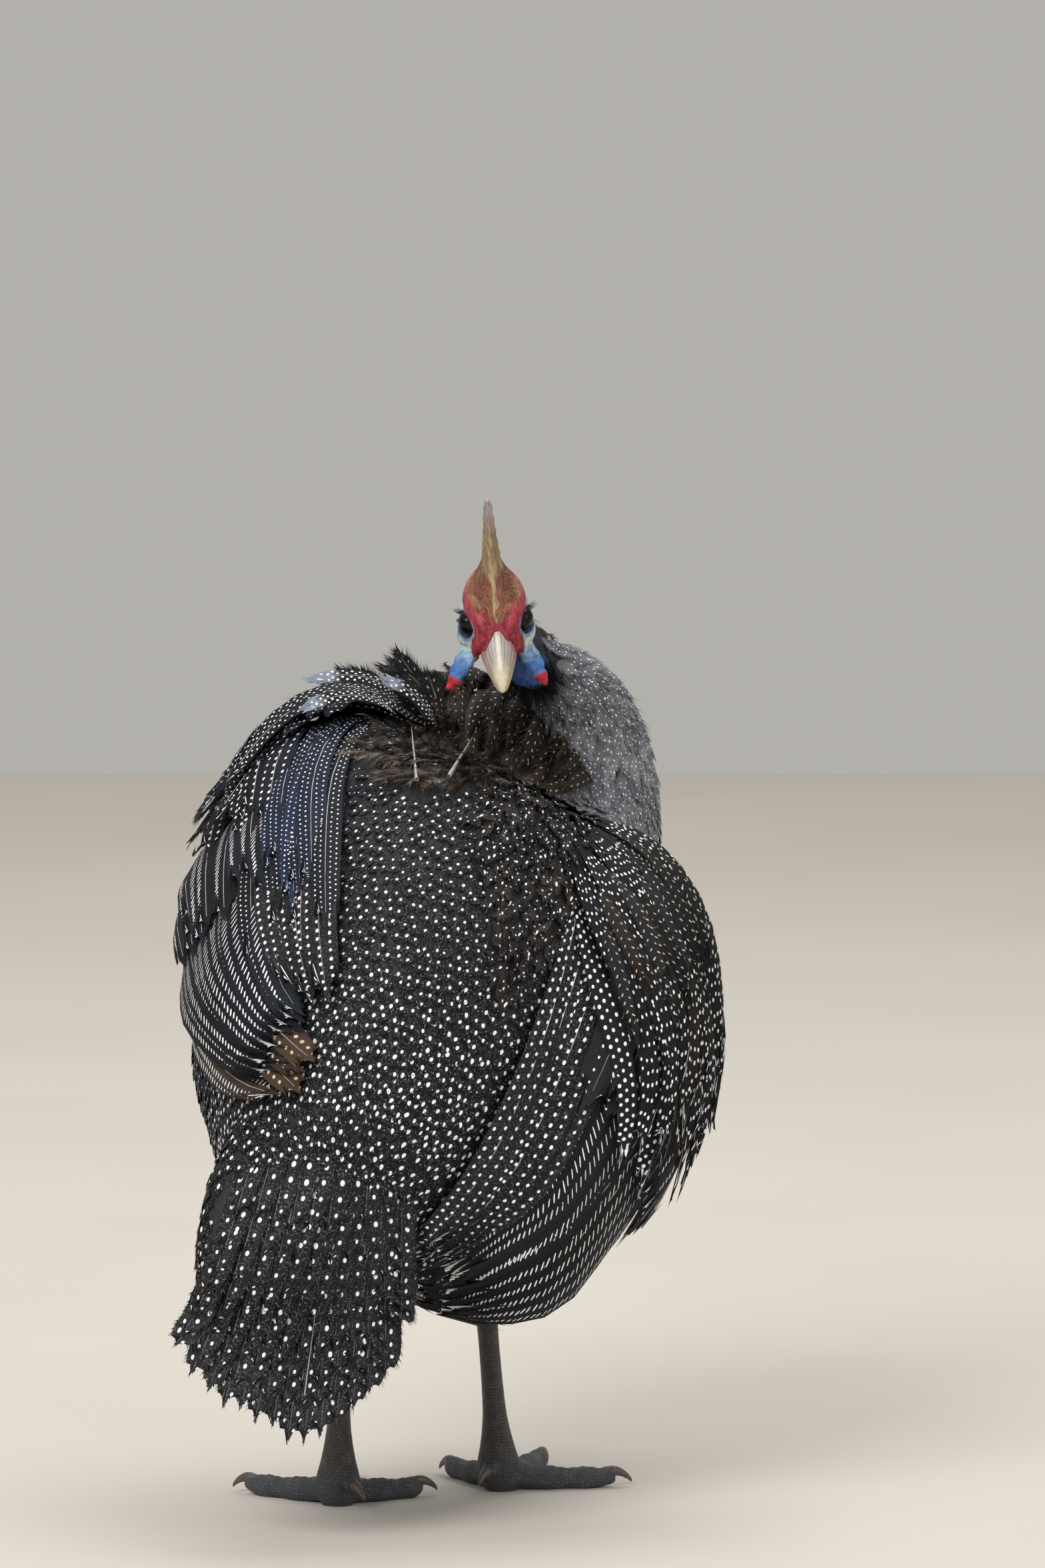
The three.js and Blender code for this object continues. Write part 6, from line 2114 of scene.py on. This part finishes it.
class Eyes:
    """Glossy dark eyes in rings of lid skin, with stiff black lashes."""

    def build(self, coat: Plumage) -> None:
        """Makes both eyes and their lashes."""
        finish = Finish("Eye, wet cornea over a dark iris", 0.05, 1.38)
        fleck = finish.times(finish.noise(finish.place(), 1500, 2), 0.3)
        finish.colour(finish.mix(fleck, finish.tone().outputs["Color"], (0.01, 0.006, 0.004)))
        finish.set(finish.shader, {"Specular IOR Level": 0.12, "Coat Weight": 0.22, "Coat Roughness": 0.03})
        up = HEAD.axes()[2]
        for name, sign in (("eye_left", 1), ("eye_right", -1)):
            centre, outward = eye_place(sign), eye_out(sign)
            axes = np.array([outward, np.cross(up, outward), up])
            piece = solid("wet_" + name, ball_rings(centre, axes, [EYE_RADIUS] * 3, 36, 48))
            facing = unit(points_of(piece) - centre) @ outward
            dab(piece, paint(ground("1c100b", facing), ("060505", smooth(facing, 0.8, 0.86))))
            place_piece(piece, finish.material, Slot.EYE, name)
        self.lashes(coat)

    def lashes(self, coat: Plumage, count: int = 24) -> None:
        """Adds short stiff bristles along the upper lids."""
        ahead, aside, up = HEAD.axes()
        batch = coat.batch("lashes", coat.black, Slot.FACE_SKIN)
        for sign in (-1, 1):
            outward = eye_out(sign)
            raised = unit(up - outward * np.dot(up, outward))
            behind = unit(np.cross(outward, raised))
            behind = behind * np.sign(np.dot(behind, -ahead + 1e-6))
            angle = np.radians(RNG.uniform(20, 75, count))[:, None]
            spoke = raised * np.sin(angle) + behind * np.cos(angle)
            roots = eye_place(sign) + outward * 3.2 + spoke * RNG.uniform(5.6, 6.4, (count, 1))
            course = outward * 0.25 + sign * aside * 0.8 + raised * 0.45
            course = unit(course + RNG.normal(0, 0.1, (count, 3)))
            length, bend = RNG.uniform(2.2, 4.6, count), np.array([0, 0, 0.25])
            bristles(batch, roots, course, length, 0.11, bend, "101012")


def strands(
    batch: Batch, line: Array, course: Array, taper: Array, colour: Array, shades: tuple[float, float],
    length: Array, start: float,
) -> None:
    """Adds three-sided strands along lines.

    Args:
        batch: the piece that they go into.
        line: points along each strand.
        course: the way that it runs at each of them, or over its whole length.
        taper: its half widths along the way.
        colour: its linear colour.
        shades: the least and the most that the colour is darkened or lightened by.
        length: how far the fine pattern runs along it.
        start: how far the fine pattern is moved along it, as a share of that length.
    """
    count, steps, _ = line.shape
    aside = unit(np.cross(course, np.array([0.31, 0.52, 0.79])))
    deep = np.cross(course, aside)
    angle = np.radians([0, 120, 240])[:, None]
    ring = aside[:, :, None] * np.cos(angle) + deep[:, :, None] * np.sin(angle)
    points = line[:, :, None] + ring * taper[..., None, None]
    faces = np.array(tube_faces(steps, 3))[None] + (np.arange(count) * steps * 3)[:, None, None]
    tone = np.zeros((count, steps, 3, 4))
    tone[..., :3] = colour[:, None, None] * RNG.uniform(*shades, (count, 1, 1, 1))
    share = np.linspace(0, 1, steps)[None, :, None, None] - 0.5 + np.zeros((count, steps, 3, 2))
    web = (share + start) * length[:, None, None, None]
    batch.add(points, faces.reshape(-1, 4), tone, web, patch_of(line[:, 0], share))


def bristles(
    batch: Batch, roots: Array, course: Array, length: Array, width: float, bend: Array, colour: str,
    steps: int = 4,
) -> None:
    """Adds curved bristles that taper to a point.

    Args:
        batch: the piece that they go into.
        roots: where they grow.
        course: which way each one starts.
        length: how long each one is.
        width: their half width at the root.
        bend: how far the tip is carried, as a share of the length.
        colour: their sRGB colour.
        steps: how many lengths each is made of.
    """
    share = np.linspace(0, 1, steps)[None, :, None]
    line = roots[:, None] + course[:, None] * share * length[:, None, None]
    line = line + bend * share**2 * length[:, None, None]
    taper = (1 - share[..., 0] * 0.92) * width
    strands(batch, line, course[:, None], taper, ground(colour, roots), (0.7, 1.3), length, 0.5)


class NeckHairs:
    """Sparse black hair-like feathers on the bare neck and the back of the head."""

    def __init__(self, skin: bpy.types.Object, coat: Plumage) -> None:
        """Keeps the skin that they grow on."""
        self.skin, self.coat = skin, coat

    def build(self, count: int = 2300) -> None:
        """Grows the hairs."""
        points, normals = points_of(self.skin), read(self.skin.data.vertices, "normal", 3)
        ahead, _, up = HEAD.into(points).T
        nape = smooth(-ahead, 8, 15) * bare_share(points) * (1 - smooth(up, -3, 3))
        collar = smooth(points[:, 2], 318, 330) * (1 - smooth(points[:, 2], 352, 362)) * (points[:, 0] > 38)
        chance = np.clip(nape * 0.7 + collar * (1 - smooth(-points[:, 1], -40, -28)), 0, 1) ** 1.2
        chance = chance * (1 - 0.9 * smooth(away(points, (47, 33, 353), (10, 10, 10)), 1.0, 0.6))
        pick = RNG.choice(len(points), count, p=chance / chance.sum())
        down = unit(np.array([0.25, 0.2, -1.0]))
        course = unit(normals[pick] * 0.55 + down * 0.75 + RNG.normal(0, 0.15, (count, 3)))
        roots, bend = points[pick] - normals[pick] * 0.4, np.array([0.05, 0.0, -0.35])
        batch = self.coat.batch("neck_hairs", self.coat.web_finish, Slot.BLUE_SKIN)
        bristles(batch, roots, course, RNG.uniform(4, 9, count), 0.17, bend, "141416", 5)


class Legs:
    """Scaled legs, toes and claws on the floor."""

    feet = {"left": (-33, -33), "right": (37, 2)}
    toes = {
        "left": (("outer", -56, 45, 10), ("middle", 4, 55, 11), ("inner", 62, 38, 10), ("hind", 152, 15, 10)),
        "right": (
            ("outer", 82, 47, 10), ("middle", 18, 55, 11), ("inner", -34, 38, 10), ("hind", -158, 15, 10)
        ),
    }
    bone: Marks = (
        (-2, 5.5, 5), (3, 8.2, 7.4), (8, 9.6, 8.3), (13, 9.2, 8), (20, 7.5, 7.1), (27, 6.2, 6.4),
        (36, 5.1, 5.7), (56, 4.5, 5.4), (76, 4.6, 5.7), (90, 5.8, 7), (94, 5.6, 6.8),
    )
    hind_toe: Marks = ((0, 15, 4.6), (0.5, 13.5, 3.8), (1, 9.5, 3.1))
    front_toe: Marks = (
        (0, 10, 7), (0.28, 5.2, 5.6), (0.62, 4.2, 4.8), (0.86, 4, 4.6), (1, 4.4, 3.7), (1.06, 4.6, 2.4)
    )

    def shank(self, side: str) -> Array:
        """Rings of the shank and foot root, with scutes stepping down the front."""
        x, y = self.feet[side]
        ax, ay, az = ANKLES[side]
        height, turn = np.linspace(-2, 94, 150)[:, None], circle(48)[None]
        wide, deep = columns(self.bone, height)
        front = np.exp(-(((turn - math.pi / 2 + math.pi) % (2 * math.pi) - math.pi) / 0.95) ** 2)
        scute = 0.75 * ((-height / 7.2) % 1) ** 1.5 * front * smooth(height, 16, 24)
        step = scute - 0.28 * np.exp(-((np.cos(turn) / 0.1) ** 2)) * front
        share = height / az
        return points_from(
            x + (ax - x) * share + np.cos(turn) * (wide + step),
            y + (ay - y) * share + np.sin(turn) * (deep + step),
            height,
        )

    def toe(self, side: str, name: str, turn: float, length: float) -> Array:
        """Rings of one toe with scutes along its top."""
        x, y = self.feet[side]
        course = np.array([math.sin(math.radians(turn)), math.cos(math.radians(turn)), 0])
        across = np.array([course[1], -course[0], 0])
        hind = name == "hind"
        marks = self.hind_toe if hind else self.front_toe
        share, angle = np.linspace(0, marks[-1][0], 90)[:, None], circle(36)[None]
        height, radius = columns(marks, share)
        scute = 0.5 * ((share * length / 4.6) % 1) ** 1.5 * np.exp(-((np.cos(angle) / 0.75) ** 2))
        pads = 0 if hind else 0.35 * np.sin(share * length / 2.6)
        radius = radius + scute * (np.sin(angle) > 0) + pads
        return (
            np.array([x, y, 0.0])
            + course * (share * length)[..., None]
            + across * (np.cos(angle) * radius)[..., None]
            + np.array([0, 0, 1.0]) * (height + np.sin(angle) * radius)[..., None]
        )

    def claw(self, side: str, name: str, turn: float, length: float, reach: float) -> Array:
        """Rings of one claw."""
        x, y = self.feet[side]
        course = np.array([math.sin(math.radians(turn)), math.cos(math.radians(turn)), 0])
        base = 10 if name == "hind" else 6.4
        stations = (
            (-4, base - 0.6, 2.2), (1.5, base + 0.6, 2.1), (reach * 0.55, base - 0.2, 1.5),
            (reach * 0.9, base - 2.6, 0.8), (reach, base - 4.2, 0.3),
        )
        places = (
            (x + course[0] * (length + go), y + course[1] * (length + go), height, radius, radius * 1.1)
            for go, height, radius in stations
        )
        limb = Limb(tuple(places), (course[1], -course[0], 0))
        return limb_rings(limb, 0, 1, 24, 20, lambda t: 0 * t)

    def build(self) -> None:
        """Makes both legs and their claws."""
        skin, horn = self.leg_finish(), plain_finish("Claw horn", "5a524c", 0.4, 700, 0.45)
        for side in self.feet:
            parts = [solid("shank", self.shank(side))]
            for name, turn, length, _ in self.toes[side]:
                parts.append(solid("toe", self.toe(side, name, turn, length)))
            leg = melt(parts, f"leg_{side}", 0.62, 1)
            points = points_of(leg)
            points[:, 2] = np.maximum(points[:, 2], 0)
            move_points(leg, points)
            height = points[:, 2]
            # Bluish grey on the toes and the low shank: partly the skin's own colour, partly painted sheen.
            coats = (("474a52", 1 - smooth(height, 6, 26)), ("2b2826", smooth(height, 70, 92)))
            dab(leg, paint(ground("3d3a38", height), *coats))
            place_piece(leg, skin, Slot.LEG_SKIN, f"shank_{side}", f"foot_{side}")
            for name, turn, length, reach in self.toes[side]:
                claw = solid(f"horn_claw_{side}_{name}", self.claw(side, name, turn, length, reach))
                place_piece(claw, horn, Slot.CLAW_HORN, f"claw_{side}_{name}")

    @staticmethod
    def leg_finish() -> bpy.types.Material:
        """Scaled leg skin: small plates with dark seams and dusty, worn crowns."""
        finish = Finish("Leg scales, dry keratin", 0.48, 1.5)
        tone = finish.tone().outputs["Color"]
        place = finish.place((1, 1, 0.8))
        sizes = {"Scale": 880, "Randomness": 0.55}
        plates = finish.add("ShaderNodeTexVoronoi", sizes, {"Vector": place}, feature="DISTANCE_TO_EDGE")
        seam = finish.ramp(plates.outputs["Distance"], ((0.0, 0), (0.3, 1)))
        dust = finish.times(finish.ramp(finish.noise(place, 220, 5), ((0.45, 0), (0.7, 1))), 0.5)
        worn = finish.mix(dust, tone, linear("7c766e"))
        finish.colour(finish.mix(seam, finish.mix(0.45, tone, BLACK), worn))
        wrinkle = finish.noise(finish.place((1, 1, 1.7)), 420, 4, warp=1.2)
        finish.bump(finish.times(seam, wrinkle, "ADD"), 0.7, 0.0005)
        return finish.material


class Stage:
    """A plain pale floor, soft studio light, and a camera at the photo's angle.

    The camera's sizes are in millimetres and its tilt is in degrees. The view's height is that of the photo
    at the bird.
    """

    tilt = 6
    distance = 4000
    view_height = 672.3
    aim = (46.3, 0, 305.3)
    sensor = 36

    def floor(self) -> None:
        """Adds the floor with its matt finish."""
        bpy.ops.mesh.primitive_plane_add(size=6, location=(0, 0, 0))
        floor = bpy.context.active_object
        floor.name = "floor"
        finish = Finish("Matt studio floor", 0.85)
        grain = finish.noise(finish.place(), 3, 3)
        finish.colour(finish.mix(grain, linear("cfc8be"), linear("dcd6cd")))
        floor.data.materials.append(finish.material)

    def lights(self) -> None:
        """Adds a large soft key, a fill, a top light and a pale surround."""
        for name, place, power, size in (
            ("key", (-1.5, -2.2, 2.4), 68, 1.6),
            ("fill", (2.2, -1.8, 1.2), 16, 2.0),
            ("top", (0.2, 0.9, 2.6), 34, 1.6),
        ):
            bpy.ops.object.light_add(type="AREA", location=place)
            lamp = bpy.context.active_object
            lamp.name, lamp.data.energy, lamp.data.size = name, power, size
            aim = Vector((0.02, 0, 0.22)) - Vector(place)
            lamp.rotation_euler = aim.to_track_quat("-Z", "Y").to_euler()
        world = bpy.data.worlds.new("Studio")
        world.use_nodes = True
        background = world.node_tree.nodes["Background"]
        background.inputs[0].default_value = (*linear("e9e6e0"), 1)
        background.inputs[1].default_value = 0.55
        bpy.context.scene.world = world

    def camera(self) -> None:
        """Adds the camera, far away and a little above, as the photo was framed."""
        tilt = math.radians(self.tilt)
        aim = np.array([*self.aim[:2], self.aim[2] / math.cos(tilt)])
        back = np.array([0, -math.cos(tilt), math.sin(tilt)])
        bpy.ops.object.camera_add(location=tuple((aim + back * self.distance + SHIFT) / 1000))
        camera = bpy.context.active_object
        camera.rotation_euler = (math.pi / 2 - tilt, 0, 0)
        camera.data.sensor_fit = "VERTICAL"
        camera.data.sensor_height = self.sensor
        camera.data.lens = self.sensor * self.distance / self.view_height
        camera.data.clip_end = 50
        bpy.context.scene.camera = camera
        bpy.context.scene.view_settings.view_transform = "Standard"

    def build(self) -> None:
        """Sets the whole stage."""
        self.floor()
        self.lights()
        self.camera()


FLESH_NODES = (
    "torso", "neck_lower", "neck_upper", "head", "wattle_left", "wattle_right", "tail",
    "wing_left", "wing_right", "thigh_left", "thigh_right",
)


def main() -> None:
    """Builds the whole bird in order: skin, coat, head, legs and stage."""
    logging.basicConfig(level=logging.INFO, format="%(message)s")
    skin = Flesh().build()
    place_piece(skin, skin_finish(), Slot.BLUE_SKIN, *FLESH_NODES)
    coat = Plumage()
    BodyCoat(skin, coat).build()
    large = LargeFeathers(coat)
    for side, outer in (("left", 1), ("right", -1)):
        batch = coat.batch(f"wing_feathers_{side}", coat.web_finish)
        for tier in TIERS[side]:
            large.tier(tier, outer, batch)
    mantle = coat.batch("mantle_arch", coat.web_finish)
    for tier in ARCH:
        large.tier(tier, 1, mantle)
    Ruffle(large, coat).build()
    Tail(large, coat).build()
    NeckHairs(skin, coat).build()
    Eyes().build(coat)
    Casque().fibres(coat)
    coat.make()
    Casque().build()
    Bill().build()
    Legs().build()
    Stage().build()


if __name__ == "__main__":
    main()
